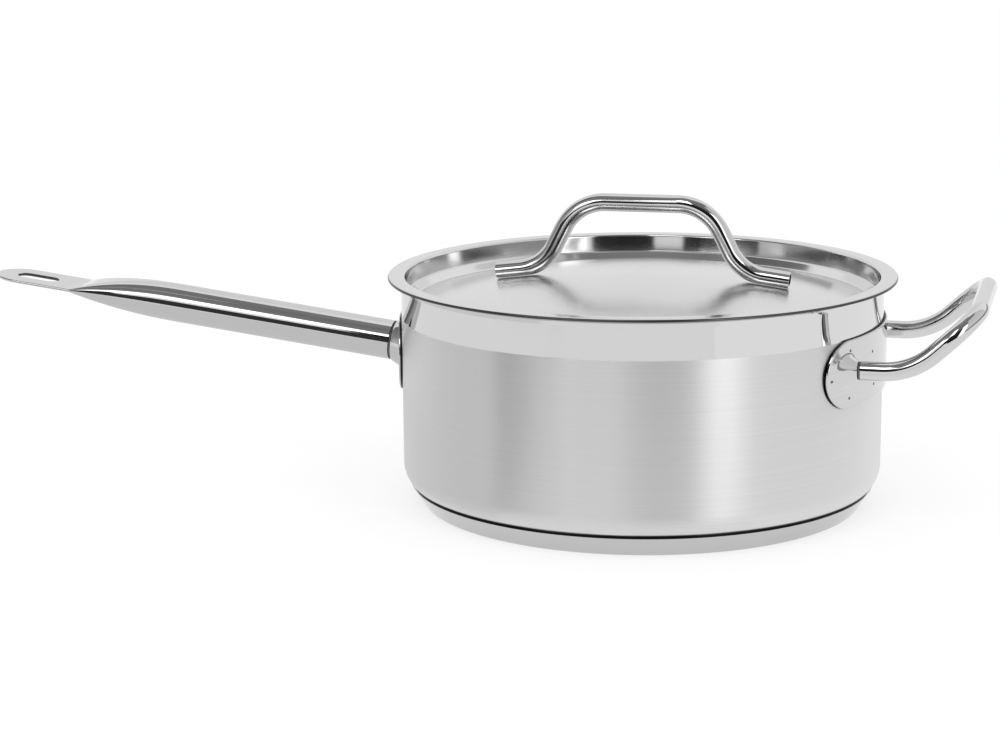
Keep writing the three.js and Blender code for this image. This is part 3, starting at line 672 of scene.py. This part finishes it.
handle_seat = (plate_face, 0, HANDLE_HEIGHT)
handle_boss_shape = (HANDLE_RADIUS + BOSS_LIP, BOSS_FLARE, BOSS_DEPTH)
edge_y = np.linspace(1, -1, EDGE_STEPS + 1)[1:-1] * (BRACKET_HALF - BRACKET_RISE)
end_line, end_inward = round_end(BRACKET_HALF, BRACKET_RISE, BRACKET_RISE, HANDLE_HEIGHT)
top_line, top_inward = level_edge(edge_y, HANDLE_HEIGHT + BRACKET_RISE, -1)
half_line, half_inward = np.vstack([end_line, top_line]), np.vstack([end_inward, top_inward])
bracket_line = np.vstack([half_line, [0, 2 * HANDLE_HEIGHT] - half_line])
bracket_inward = np.vstack([half_inward, -half_inward])
bracket_grid = bent_plate(bracket_line, bracket_inward, handle_seat, HANDLE_TILT, handle_boss_shape)
bracket_grid = bracket_grid * TO_HANDLE_SIDE
handle_bracket = make_piece("handle_bracket_plate", bracket_grid, stitch(*bracket_grid.shape[:2]),
                            "pan", "bracket_steel", ["handle_bracket"])

# %% [markdown]
# The helper's plate has two bosses, one for each leg. Its far half is a fan from its own boss, whose rays
# end either on the plate's edge or on the middle line. The near half is the far one mirrored, and merging
# the middle line's points joins them. Rays that end on the middle line get no rim, and no wall between the
# skins.

# %% Helper handle's bracket
HELPER_PLATE_END, HELPER_PLATE_RISE, HELPER_PLATE_HEIGHT = 15.3, 16.5, 78.8
HELPER_BOSS_FLARE = 2.4
MIDDLE_STEPS = 40
MIRRORED = [1, -1, 1]

helper_seat = (helper_face, HELPER_HALF, HELPER_HEIGHT)
helper_boss_shape = (HELPER_RADIUS + BOSS_LIP, HELPER_BOSS_FLARE, HELPER_BOSS_DEPTH)
edge_y = np.linspace(HELPER_HALF, 0, EDGE_STEPS + 1)[1:]
end_line, end_inward = round_end(HELPER_HALF + HELPER_PLATE_END, HELPER_PLATE_RISE, HELPER_PLATE_END,
                                 HELPER_PLATE_HEIGHT)
top_line, top_inward = level_edge(edge_y, HELPER_PLATE_HEIGHT + HELPER_PLATE_RISE, -1)
low_line, low_inward = level_edge(edge_y[::-1], HELPER_PLATE_HEIGHT - HELPER_PLATE_RISE, 1)
middle_z = (HELPER_PLATE_RISE - RIM_ROUND) * np.linspace(1, -1, MIDDLE_STEPS + 1)
middle_line = np.column_stack([0 * middle_z, HELPER_PLATE_HEIGHT + middle_z])
far_line = np.vstack([end_line, top_line, middle_line, low_line])
far_inward = np.vstack([end_inward, top_inward, 0 * middle_line, low_inward])
far_half = bent_plate(far_line, far_inward, helper_seat, 0.0, helper_boss_shape)
far_faces = stitch(*far_half.shape[:2])
half_points = far_half.reshape(-1, 3)
on_middle = np.all(np.abs(half_points[far_faces][..., 1]) < MERGE / MM, axis=1)
half_faces = far_faces[~on_middle]
helper_points = np.concatenate([half_points, half_points * MIRRORED])
helper_faces = np.concatenate([half_faces, half_faces + len(half_points)])
helper_bracket = make_piece("helper_bracket_plate", helper_points, helper_faces, "pan", "bracket_steel",
                            ["helper_bracket"])

# %% [markdown]
# ## Weld beads
# The tubes are joined to their bosses with a thin bead run round the end. A torus would be too even: a bead
# swells a little at every touch of the torch, so a small circle is carried round the tube's end while its
# size rises and falls. The two beads of the helper are one bead and its mirror image.

# %% Weld beads
BEAD_RADIUS, BEAD_SINK = 0.6, 0.75
BEAD_RIPPLE, HANDLE_RIPPLES, HELPER_RIPPLES = 0.12, 46, 24
BEAD_STEPS, BEAD_SIDES = 240, 14


def weld_bead(centre, tilt, radius, ripples):
    """A circle carried round a ring: a share of its size swells with a rectified sine of the way round."""
    way = np.linspace(0, 2 * np.pi, BEAD_STEPS, endpoint=False)[:, None]
    turn = np.linspace(0, 2 * np.pi, BEAD_SIDES, endpoint=False)[None, :]
    size = BEAD_RADIUS * (1 - BEAD_RIPPLE + BEAD_RIPPLE * np.abs(np.sin(ripples * way / 2)))
    ring = radius - BEAD_SINK + size * np.cos(turn)
    out, climb = size * np.sin(turn), ring * np.sin(way)
    x = centre[0] + out * math.cos(tilt) - climb * math.sin(tilt)
    z = centre[2] + out * math.sin(tilt) + climb * math.cos(tilt)
    return np.stack(np.broadcast_arrays(x, centre[1] + ring * np.cos(way), z), axis=-1)


def weld_piece(name, points, faces, *nodes):
    """A piece of weld metal on the pan."""
    return make_piece(name, points, faces, "pan", "weld_steel", nodes)


bead_faces = stitch(BEAD_STEPS, BEAD_SIDES, wrap_rows=True)
handle_weld_place = on_handle(-WELD_GAP / 2, 0.0, 0.0) * TO_HANDLE_SIDE
handle_bead = weld_bead(handle_weld_place, HANDLE_TILT, HANDLE_RADIUS, HANDLE_RIPPLES) * TO_HANDLE_SIDE
helper_weld_place = (helper_boss + WELD_GAP / 2, HELPER_HALF, HELPER_HEIGHT)
helper_bead = weld_bead(helper_weld_place, 0.0, HELPER_RADIUS, HELPER_RIPPLES)
welds = [
    weld_piece("handle_weld_bead", handle_bead, bead_faces, "handle_weld"),
    weld_piece("helper_weld_bead_back", helper_bead, bead_faces, "helper_weld_back"),
    weld_piece("helper_weld_bead_front", helper_bead * MIRRORED, bead_faces, "helper_weld_front"),
]

# %% [markdown]
# ## Spot welds
# The plates are joined to the pot by spots, where two electrodes squeeze the sheets and melt them together.
# Each leaves a low dark ring with a dimple in it. A bump in the material could hint at them, but a ring of
# real points catches the light from every side, so each spot is a small hump laid on the plate's own skin.

# %% Spot welds
SPOT_RADIUS, SPOT_RIM, SPOT_SINK, SPOT_DEPTH = 0.8, 0.16, 0.12, 0.5
SPOT_LEAN, SPOT_FALL = 1.6, 6
SPOT_ROWS, SPOT_SIDES = 14, 32
HANDLE_SPOTS = [(-30.0, 73.9), (30.0, 73.9)]
HELPER_SPOTS = [(65.0, 77.6), (52.1, 90.35), (52.1, 67.25), (28.8, 85.7), (26.05, 69.2)]


def spot_welds(spots, seat, tilt, boss):
    """Low rings on a plate's skin, closed below: a hump over the way from the middle, sunk at the edge."""
    y, z = (np.array(spots).T)[:, :, None, None]
    d = np.linspace(0, 1, SPOT_ROWS)[None, :, None]
    turn = np.linspace(0, 2 * np.pi, SPOT_SIDES, endpoint=False)[None, None, :]
    hump = SPOT_RIM * np.sin(np.pi * d ** SPOT_LEAN) - SPOT_SINK * d ** SPOT_FALL
    spot = np.stack([y + SPOT_RADIUS * d * np.cos(turn), z + SPOT_RADIUS * d * np.sin(turn)], axis=-1)
    tops = plate_skin(*seen_along_boss(spot, seat, tilt), seat, tilt, plate_face + hump, boss)
    middles = tops[:, -1:].mean(axis=2, keepdims=True) - [SPOT_DEPTH, 0, 0]
    return np.concatenate([tops, np.broadcast_to(middles, tops[:, -1:].shape)], axis=1)


def spot_faces(count):
    """The faces of a number of spots, one after the other."""
    one = stitch(SPOT_ROWS + 1, SPOT_SIDES)
    steps = np.arange(count)[:, None, None] * (SPOT_ROWS + 1) * SPOT_SIDES
    return (one[None] + steps).reshape(-1, 4)


handle_spots = spot_welds(HANDLE_SPOTS, handle_seat, HANDLE_TILT, handle_boss_shape) * TO_HANDLE_SIDE
far_spots = spot_welds(HELPER_SPOTS, helper_seat, 0.0, helper_boss_shape)
helper_spots = np.concatenate([far_spots, far_spots * MIRRORED])
welds += [
    weld_piece("handle_spot_welds", handle_spots, spot_faces(len(handle_spots))),
    weld_piece("helper_spot_welds", helper_spots, spot_faces(len(helper_spots))),
]

# %% [markdown]
# ## Writing finishes as sums
# A finish is a small sum: so much grain, less where the band is polished. Node by node that is hard to
# read, so one class wraps a socket and lets plain signs add the Math nodes. Any other node comes from its
# one method, which sets the node's choices first and then gives its sockets a value or a link.

# %% Shader sums
class Tone:
    """A number or vector that varies over a surface: an output socket that sums can be written with."""

    def __init__(self, tree, socket=None):
        self.tree, self.socket = tree, socket

    def node(self, kind, settings, inputs, output=0):
        """A new node with its settings, then values or links in its sockets; gives one of its outputs."""
        made = self.tree.nodes.new(kind)
        for name, value in settings.items():
            setattr(made, name, value)
        for name, value in inputs.items():
            if isinstance(value, Tone):
                self.tree.links.new(value.socket, made.inputs[name])
            else:
                made.inputs[name].default_value = value
        return Tone(self.tree, made.outputs[output])

    def math(self, operation, first, second=0.0, clamp=False):
        """A Math node on two numbers."""
        settings = {"operation": operation, "use_clamp": clamp}
        return self.node("ShaderNodeMath", settings, {0: first, 1: second})

    def vector(self, operation, second=(0.0, 0.0, 0.0), output=0):
        """A Vector Math node on this vector and a fixed one."""
        return self.node("ShaderNodeVectorMath", {"operation": operation}, {0: self, 1: second}, output)

    def __add__(self, other):
        return self.math("ADD", self, other)

    def __sub__(self, other):
        return self.math("SUBTRACT", self, other)

    def __rsub__(self, other):
        return self.math("SUBTRACT", other, self)

    def __mul__(self, other):
        return self.math("MULTIPLY", self, other)

    def __truediv__(self, other):
        return self.math("DIVIDE", self, other)

    __radd__, __rmul__ = __add__, __mul__

    def held(self):
        """The number held between nought and one."""
        return self.math("ADD", self, clamp=True)

    def at_least(self, least):
        """The number, or the least it may be."""
        return self.math("MAXIMUM", self, least)

    def step_at(self, edge, width):
        """Nought below an edge and one above it, rising straight over a width."""
        return ((self - edge) / width + 0.5).held()

    def scaled(self, factors):
        """A vector times one factor for each axis."""
        return self.vector("MULTIPLY", factors)

    def length(self):
        """The length of a vector."""
        return self.vector("LENGTH", output="Value")

    def parts(self):
        """The three numbers of a vector."""
        split = self.node("ShaderNodeSeparateXYZ", {}, {0: self}).socket.node
        return [Tone(self.tree, output) for output in split.outputs]

    def joined(self, x=0.0, y=0.0, z=0.0):
        """A vector of three numbers."""
        return self.node("ShaderNodeCombineXYZ", {}, {0: x, 1: y, 2: z})

    def grain(self, detail=2.0, rough=0.55):
        """Noise read at this place, with a cell of one unit."""
        inputs = {"Vector": self, "Scale": 1.0, "Detail": detail, "Roughness": rough}
        return self.node("ShaderNodeTexNoise", {"noise_dimensions": "3D"}, inputs)

    def blend(self, low, high):
        """A colour between two, by this number."""
        return self.node("ShaderNodeMix", {"data_type": "RGBA"}, {0: self, 6: low, 7: high}, output=2)

    def bumped(self, height):
        """The normal of a surface that this number lifts by up to a height in metres."""
        return self.node("ShaderNodeBump", {}, {"Height": self, "Strength": 1.0, "Distance": height})


# %% [markdown]
# Every finish here is bare metal, so all start from the same shader with Metallic at one. What is the same
# all over a surface is set on the shader's own sockets, and what varies is linked. Steel is a neutral grey,
# so a colour is given by one level.

# %% Finish helpers
def own_nodes(owner):
    """The node tree of a material or a world, switched on."""
    owner.use_nodes = True
    return owner.node_tree


def new_finish(name, **constants):
    """A metal finish with its constants on the shader's own sockets, and the place to start its sums from."""
    finish = bpy.data.materials.new(name)
    shader = own_nodes(finish).nodes["Principled BSDF"]
    shader.inputs["Metallic"].default_value = 1.0
    for socket, value in constants.items():
        shader.inputs[socket.replace("_", " ")].default_value = value
    return finish, Tone(finish.node_tree).node("ShaderNodeTexCoord", {}, {}, "Object")


def coat(pieces, finish, **tones):
    """Links tones to the finish's Base Color, Roughness or Normal, and gives it to pieces."""
    shader = finish.node_tree.nodes["Principled BSDF"]
    for socket, tone in tones.items():
        tone.tree.links.new(tone.socket, shader.inputs[socket.replace("_", " ")])
    for piece in pieces:
        piece.data.materials.clear()
        piece.data.materials.append(finish)
    print(finish.name, "varies", list(tones), "on", [piece.name for piece in pieces])


def grey(level):
    """A neutral grey."""
    return (level, level, level, 1.0)


# %% [markdown]
# ## Brushed pot
# The body is brushed round with an abrasive belt, which leaves fine level scratches, and a band below the
# lip is left polished. The scratches are noise that is stretched round the wall and dense in height.
# Scratches spread a reflection across themselves, which the shader's anisotropy does without any extra
# faces. The outside of the pot's corner, in the groove over the base, is painted near black as painted
# shade.

# %% Brushed pot
LEVEL = (1.0, 1.0, 0.0)
SCRATCH_ALONG, SCRATCH_ACROSS, SCRATCH_DEPTH = 9.0, 1500.0, 0.000008
POLISH_START, POLISH_EDGE = 0.0951, 0.0003
GROOVE_SHADE_TOP, GROOVE_SHADE_FADE, GROOVE_SHADE_GREY = 0.0115, 0.0008, grey(0.03)
LIP_SHADE_START, LIP_SHADE_FADE, LIP_SHADE_GREY = 0.1128, 0.0005, grey(0.46)
POT_GREY, SCRATCH_GREY = grey(0.72), grey(0.82)
POLISHED_ROUGH, BRUSHED_ROUGH, SCRATCH_ROUGH = 0.05, 0.25, 0.16

pot_finish, place = new_finish("brushed_pot_steel", Anisotropic=0.86, Anisotropic_Rotation=0.25)
height = place.parts()[2]
polished = height.step_at(POLISH_START, POLISH_EDGE)
scratch = place.scaled((SCRATCH_ALONG, SCRATCH_ALONG, SCRATCH_ACROSS)).grain()
worn = scratch * (1 - polished)
# Painted shade: the outside of the pot's corner is painted near black in the groove over the base.
past_corner = (place.scaled(LEVEL).length() - corner_ring * MM).at_least(0.0)
from_corner = place.joined(past_corner, height - corner_height * MM).length()
outside = from_corner.step_at((POT_CORNER - POT_WALL / 2) * MM, POT_WALL / 2 * MM)
groove_shade = (1 - height.step_at(GROOVE_SHADE_TOP, GROOVE_SHADE_FADE)) * outside
# Painted shade: the top of the pot, over the rolled lip under the lid's flange, is painted a darker grey.
lip_shade = height.step_at(LIP_SHADE_START, LIP_SHADE_FADE)
clean = lip_shade.blend(worn.blend(POT_GREY, SCRATCH_GREY), LIP_SHADE_GREY)
coat([pot], pot_finish, Base_Color=groove_shade.blend(clean, GROOVE_SHADE_GREY),
     Roughness=POLISHED_ROUGH + (BRUSHED_ROUGH + SCRATCH_ROUGH * scratch) * (1 - polished),
     Normal=worn.bumped(SCRATCH_DEPTH))

# %% [markdown]
# ## Spun lid
# The lid's middle is brushed while it spins, so its scratches are rings, and light gathers in fans that
# meet at the centre. The flange and the wall are polished, and the outer edge is rougher and painted nearly
# black, as painted shade over the gap between lid and rim. The rings are noise on the distance from the
# axis and on the direction, so each ring changes slowly round the lid.

# %% Spun lid
RING_ALONG, RING_ACROSS, RING_DEPTH = 2.2, 1700.0, 0.000006
DISC_EDGE, DISC_FADE = 0.1148, 0.0016
SHADED_EDGE_REACH, SHADED_EDGE_FADE, SHADED_EDGE_GREY = 0.1272, 0.0002, grey(0.10)
LID_GREY, RING_GREY = grey(0.70), grey(0.80)
FLANGE_ROUGH, DISC_ROUGH, RING_ROUGH, TRIM_ROUGH = 0.11, 0.06, 0.10, 0.2

lid_finish, place = new_finish("spun_lid_steel", Anisotropic=0.4, Anisotropic_Rotation=0.25)
level = place.scaled(LEVEL)
reach = level.length()
around = level.vector("NORMALIZE").parts()
rings = place.joined(RING_ALONG * around[0], RING_ALONG * around[1], RING_ACROSS * reach).grain()
disc = 1 - reach.step_at(DISC_EDGE, DISC_FADE)
# Painted shade: the lid's outermost edge is painted nearly black.
shaded_edge = reach.step_at(SHADED_EDGE_REACH, SHADED_EDGE_FADE)
spun = rings * disc
coat([lid], lid_finish, Base_Color=shaded_edge.blend(spun.blend(LID_GREY, RING_GREY), SHADED_EDGE_GREY),
     Roughness=FLANGE_ROUGH + (DISC_ROUGH + RING_ROUGH * rings) * disc + TRIM_ROUGH * shaded_edge,
     Normal=spun.bumped(RING_DEPTH))

# %% [markdown]
# ## Polished tubes
# Handles are polished on a wheel, along the tube. What is left are very faint lines and a slow unevenness
# that makes reflections swim a little. The lines follow the piece's own grain attribute, its angle round
# the tube and its way along it, so they bend with the tube. The wall of the hanging slot is rougher and
# painted dark, as painted shade inside the slot: its mask is the distance from the slot's middle line.

# %% Polished tubes
LINE_ROUND, LINE_ALONG = 26.0, 14.0
SWELL_ROUND, SWELL_ALONG, TUBE_SWELL = 1.1, 45.0, 0.00003
TUBE_GREY, LINE_GREY, SLOT_SHADE_GREY = grey(0.70), grey(0.62), grey(0.10)
TUBE_ROUGH, LINE_ROUGH, PUNCHED_ROUGH = 0.03, 0.05, 0.3

tube_finish, place = new_finish("polished_tube_steel")
tube_place = place.node("ShaderNodeAttribute", {"attribute_name": "grain"}, {}, "Vector")
lines = tube_place.scaled((LINE_ROUND, LINE_ROUND, LINE_ALONG)).grain()
swell = tube_place.scaled((SWELL_ROUND, SWELL_ROUND, SWELL_ALONG)).grain(detail=1.0)
from_slot = place.vector("SUBTRACT", (on_handle(slot_middle, 0.0, 0.0) * MM).tolist())
along = from_slot.vector("DOT_PRODUCT", (-math.cos(HANDLE_TILT), 0, math.sin(HANDLE_TILT)), "Value")
past_straight = (along.math("ABSOLUTE", along) - slot_straight * MM).at_least(0.0)
from_middle = place.joined(past_straight, from_slot.parts()[1]).length()
# Painted shade: the wall of the hanging slot is painted dark.
slot_wall_shade = 1 - from_middle.step_at((SLOT_WIDTH + SLOT_EDGE) / 2 * MM, SLOT_EDGE / 2 * MM)
coat([lid_handle, helper_handle, long_handle], tube_finish,
     Base_Color=slot_wall_shade.blend(lines.blend(TUBE_GREY, LINE_GREY), SLOT_SHADE_GREY),
     Roughness=TUBE_ROUGH + LINE_ROUGH * lines + PUNCHED_ROUGH * slot_wall_shade,
     Normal=swell.bumped(TUBE_SWELL))

# %% [markdown]
# ## Polished plates
# The plates are polished across, before they are welded on, so their lines are level and dense in height.
# Under their edges, where the plate stands a little off the wall, a narrow seam is rougher and painted
# nearly black, as painted shade. It is a mask on the distance from the pot's axis.

# %% Polished plates
WHEEL_LINES = (40.0, 40.0, 900.0)
PLATE_WAVES, PLATE_SWELL = (60.0, 60.0, 60.0), 0.00004
SEAM_SHADE_REACH, SEAM_SHADE_FADE, SEAM_SHADE_GREY = 0.1221, 0.0002, grey(0.03)
PLATE_GREY, WHEEL_GREY = grey(0.69), grey(0.62)
PLATE_ROUGH, WHEEL_ROUGH, SEAM_ROUGH = 0.05, 0.07, 0.3

plate_finish, place = new_finish("polished_plate_steel")
lines = place.scaled(WHEEL_LINES).grain()
swell = place.scaled(PLATE_WAVES).grain(detail=1.0)
# Painted shade: the plate next to the pot's wall is painted nearly black.
seam_shade = 1 - place.scaled(LEVEL).length().step_at(SEAM_SHADE_REACH, SEAM_SHADE_FADE)
coat([handle_bracket, helper_bracket], plate_finish,
     Base_Color=seam_shade.blend(lines.blend(PLATE_GREY, WHEEL_GREY), SEAM_SHADE_GREY),
     Roughness=PLATE_ROUGH + WHEEL_ROUGH * lines + SEAM_ROUGH * seam_shade,
     Normal=swell.bumped(PLATE_SWELL))

# %% [markdown]
# ## Base cap
# The cap is pressed and then turned on its underside, so its foot carries fine rings, while the slanted
# side is only polished. The rings are noise on the distance from the axis alone, and they roughen only
# what lies within a millimetre of the floor. Its steel is painted a darker grey than the pot's, as painted
# shade from the shadowed floor that it reflects.

# %% Base cap's finish
FOOT_TOP, FOOT_FADE, FOOT_DEPTH = 0.0006, 0.0004, 0.00001
# Painted shade: the cap's greys are darker than the pot's steel, for the shadowed floor it reflects.
CAP_SHADE_GREY, CAP_RING_SHADE_GREY = grey(0.58), grey(0.52)
CAP_ROUGH, FOOT_ROUGH, FOOT_RING_ROUGH = 0.08, 0.12, 0.2

cap_finish, place = new_finish("pressed_base_steel")
rings = place.joined(z=RING_ACROSS * place.scaled(LEVEL).length()).grain()
foot = 1 - place.parts()[2].step_at(FOOT_TOP, FOOT_FADE)
coat([base_cap], cap_finish, Base_Color=rings.blend(CAP_SHADE_GREY, CAP_RING_SHADE_GREY),
     Roughness=CAP_ROUGH + (FOOT_ROUGH + FOOT_RING_ROUGH * rings) * foot,
     Normal=(rings * foot).bumped(FOOT_DEPTH))

# %% [markdown]
# ## Core and welds
# The aluminium shows only in the groove, where it is dull and spotted. Weld metal is dark and uneven,
# because heat leaves scale on it that the wheel can't reach. Both are plain noise on the place, fine enough
# to be felt rather than seen.

# %% Core and welds
SPECK, CORE_ROUGH, SPECK_ROUGH = (900.0, 900.0, 900.0), 0.45, 0.25
CORE_GREY, SPECK_GREY = grey(0.30), grey(0.18)
SCALE, WELD_ROUGH, SCALE_ROUGH, SCALE_DEPTH = (700.0, 700.0, 700.0), 0.35, 0.3, 0.00004
WELD_GREY, SCALE_GREY = grey(0.26), grey(0.09)

core_finish, place = new_finish("core_aluminium_dull")
speck = place.scaled(SPECK).grain(detail=3.0)
coat([base_core], core_finish, Base_Color=speck.blend(CORE_GREY, SPECK_GREY),
     Roughness=CORE_ROUGH + SPECK_ROUGH * speck)

weld_finish, place = new_finish("weld_bead_steel")
scale = place.scaled(SCALE).grain(detail=3.0)
coat(welds, weld_finish, Base_Color=scale.blend(WELD_GREY, SCALE_GREY),
     Roughness=WELD_ROUGH + SCALE_ROUGH * scale,
     Normal=scale.bumped(SCALE_DEPTH))

# %% [markdown]
# ## White surroundings
# Bright metal is a picture of its room, so the room is what gives it form. It starts as a white floor and
# white walls. The floor glows white to the camera and in reflections, and still takes a soft shadow,
# because only a part of what is seen of it is its own glow.

# %% White surroundings
WHITE = (1, 1, 1, 1)
ROOM_LIGHT = 0.95
FLOOR_GLOW, FLOOR_WHITE, FLOOR_GREY, FLOOR_ROUGH = 0.6, 1.1, grey(0.92), 0.9
FLOOR_CORNERS = 5.0 * np.array([[[-1, -1, 0], [-1, 1, 0]], [[1, -1, 0], [1, 1, 0]]])


def seen_rays(start):
    """One for rays from the camera, off metal or through glass, and nought for light that spreads."""
    paths = start.node("ShaderNodeLightPath", {}, {}).socket.node
    camera_ray, glossy, through = (Tone(start.tree, paths.outputs[name])
                                   for name in ("Is Camera Ray", "Is Glossy Ray", "Is Transmission Ray"))
    return (camera_ray + glossy + through).held()


def lit_by_itself(material, glow):
    """Makes a shader the whole surface of a material."""
    output = material.node_tree.nodes["Material Output"]
    material.node_tree.links.new(glow.socket, output.inputs["Surface"])


scene = bpy.context.scene
scene.view_settings.view_transform = "Standard"
scene.world = room = bpy.data.worlds.new("white_room")
backdrop = own_nodes(room).nodes["Background"]
backdrop.inputs["Color"].default_value = WHITE
room_level = ROOM_LIGHT + (1 - ROOM_LIGHT) * seen_rays(Tone(room.node_tree))
room.node_tree.links.new(room_level.socket, backdrop.inputs["Strength"])

floor = in_scene("floor", mesh_of("floor", FLOOR_CORNERS, stitch(2, 2, wrap_columns=False)))
floor_finish = bpy.data.materials.new("white_floor")
floor_start = Tone(own_nodes(floor_finish))
paint = floor_finish.node_tree.nodes["Principled BSDF"]
paint.inputs["Base Color"].default_value = FLOOR_GREY
paint.inputs["Roughness"].default_value = FLOOR_ROUGH
paint.inputs["Specular IOR Level"].default_value = 0.0
glow = floor_start.node("ShaderNodeEmission", {}, {"Color": WHITE, "Strength": FLOOR_WHITE})
glow_share = FLOOR_GLOW * seen_rays(floor_start)
painted = Tone(floor_finish.node_tree, paint.outputs[0])
lit_by_itself(floor_finish, floor_start.node("ShaderNodeMixShader", {}, {0: glow_share, 1: painted, 2: glow}))
floor.data.materials.append(floor_finish)
print("white room at", ROOM_LIGHT, "and floor glow", FLOOR_GLOW)

# %% [markdown]
# ## Softboxes
# Three soft lamps beside the camera give the white streaks on the tubes and the bright bars on the body.
# Their places were read from those streaks: a mirror of known shape shows where a lamp must stand. A place
# in the room is given as degrees to the right of the camera and degrees up, seen from the pan.

# %% Softboxes
ROOM_DISTANCE = 1.5
ROOM_CENTRE = np.array([0.0, 0.0, 0.09])
UP = np.array([0, 0, 1])
# Azimuth, elevation, width and height in degrees, and brightness
SOFTBOXES = {
    "softbox_left": (-15.5, 48, 21, 20, 1.6),
    "softbox_far_left": (-43, 30, 25, 12, 1.6),
    "softbox_right": (36.5, 22, 15, 40, 1.02),
}

to_camera = np.array([CAMERA_PLACE[0], CAMERA_PLACE[1], 0]) / math.hypot(*CAMERA_PLACE[:2])
to_right = np.array([-to_camera[1], to_camera[0], 0])


def room_point(azimuth, elevation, distance=ROOM_DISTANCE):
    """A point of the room: the centre plus the distance times a level way and an upward one.

    The level way is weighed by the elevation's cosine and the upward one by its sine."""
    turn, climb = np.radians(azimuth)[..., None], np.radians(elevation)[..., None]
    level_way = np.cos(turn) * to_camera + np.sin(turn) * to_right
    return ROOM_CENTRE + distance * (np.cos(climb) * level_way + np.sin(climb) * UP)


def softbox(name, azimuth, elevation, wide, high, brightness):
    """A rectangular lamp turned to the pan; its power is four times its brightness times its area."""
    light = bpy.data.lights.new(name, "AREA")
    light.shape = "RECTANGLE"
    light.size = 2 * ROOM_DISTANCE * math.tan(math.radians(wide / 2))
    light.size_y = 2 * ROOM_DISTANCE * math.tan(math.radians(high / 2))
    light.energy = 4 * brightness * light.size * light.size_y
    place = room_point(np.array(azimuth), np.array(elevation))
    back = (place - ROOM_CENTRE) / np.linalg.norm(place - ROOM_CENTRE)
    right = np.cross(UP, back)
    right /= np.linalg.norm(right)
    lamp = in_scene(name, light)
    lamp.matrix_world = placed(np.column_stack([right, np.cross(back, right), back]), place)
    lamp.visible_camera = False
    print(name, round(light.energy, 2), "W")


for name, numbers in SOFTBOXES.items():
    softbox(name, *numbers)

# %% [markdown]
# ## Cards
# Dark cards between the lamps draw the black lines on the tubes and the dark bars in the lid's wall, and
# pale ones on the floor tone the parts that look down. A photographer hangs cloth for this. Only
# reflections see the cards, so they throw no shadow and take no light from the room, and each is a grid of
# points on a patch of the room, a strip that stands on the floor, or a part of a ring that lies on it.

# %% Cards
CARD_SHARE, CARD_LIFT = 0.97, 0.0003
CARD_COLUMNS, CARD_ROWS, RING_COLUMNS = 24, 12, 48
# Azimuths and elevations in degrees, and the greys of the lower and upper edge
DARK_CARDS = {
    "card_camera": ((-6.6, 26.4), (0, 38), 0.015, 0.02),
    "card_left_high": ((-21.8, -6.6), (7.5, 38), 0.015, 0.02),
    "card_left_low": ((-32.3, -21.8), (1.5, 26), 0.015, 0.02),
    "card_over_camera": ((-5, 27), (38, 64), 0.12, 0.24),
    "card_over_left": ((-56, -26), (38, 64), 0.26, 0.2),
    "card_over_right": ((27, 47), (43, 64), 0.2, 0.24),
    "card_side_left": ((-118, -78), (0, 64), 0.42, 0.12),
    "card_edge_left": ((-78, -57), (0, 64), 0.62, 0.25),
    "card_side_right": ((47, 118), (0, 10), 0.3, 0.3),
    "card_high_right": ((47, 118), (10, 64), 0.8, 0.7),
    "card_back_left": ((-140, -118), (0, 12), 0.36, 0.5),
    "card_back_right": ((118, 150), (0, 12), 0.36, 0.5),
    "card_above": ((-118, 118), (60, 100), 0.2, 0.28),
    "card_behind": ((150, 220), (1, 62), 0.85, 0.9),
}
# Azimuths in degrees, distances in metres, and the grey
FLOOR_CARDS = {
    "floor_left_near": ((-180, -40), (0.125, 0.52), 0.75),
    "floor_left_far": ((-180, -40), (0.52, 1.4), 0.89),
    "floor_front": ((-40, 30.5), (0.125, 1.4), 0.88),
    "floor_right": ((30.5, 180), (0.125, 1.4), 0.95),
}
STRIP_AZIMUTHS, STRIP_DISTANCE, STRIP_HEIGHT, STRIP_GREY = (-66, -33), 0.745, 0.27, 0.04


def hung_card(name, points, low, high):
    """A cloth through a grid of points, seen by reflections alone, in greys that change with height."""
    card = in_scene(name, mesh_of(name, points, stitch(*points.shape[:2], wrap_columns=False)))
    cloth = bpy.data.materials.new(name)
    height = Tone(own_nodes(cloth)).node("ShaderNodeTexCoord", {}, {}, "Object").parts()[2]
    bottom, top = float(points[..., 2].min()), float(points[..., 2].max())
    shade = height.step_at((bottom + top) / 2, max(top - bottom, CARD_LIFT)).blend(grey(low), grey(high))
    lit_by_itself(cloth, height.node("ShaderNodeEmission", {}, {"Color": shade, "Strength": 1.0}))
    card.data.materials.append(cloth)
    card.visible_camera = card.visible_diffuse = card.visible_shadow = card.visible_transmission = False


for name, (azimuths, elevations, low, high) in DARK_CARDS.items():
    patch = np.meshgrid(np.linspace(*azimuths, CARD_COLUMNS), np.linspace(*elevations, CARD_ROWS))
    hung_card(name, room_point(*patch, CARD_SHARE * ROOM_DISTANCE), low, high)

azimuth, strip_z = np.meshgrid(np.linspace(*STRIP_AZIMUTHS, CARD_COLUMNS), [0.0, STRIP_HEIGHT])
strip = room_point(azimuth, 0 * azimuth, STRIP_DISTANCE)
strip[..., 2] = strip_z
hung_card("card_on_floor", strip, STRIP_GREY, STRIP_GREY)

for name, (azimuths, distances, level) in FLOOR_CARDS.items():
    azimuth, distance = np.meshgrid(np.linspace(*azimuths, RING_COLUMNS), distances)
    ring_part = room_point(azimuth, 0 * azimuth, distance[..., None])
    ring_part[..., 2] = CARD_LIFT
    hung_card(name, ring_part, level, level)
print(len(DARK_CARDS) + len(FLOOR_CARDS) + 1, "cards hung")
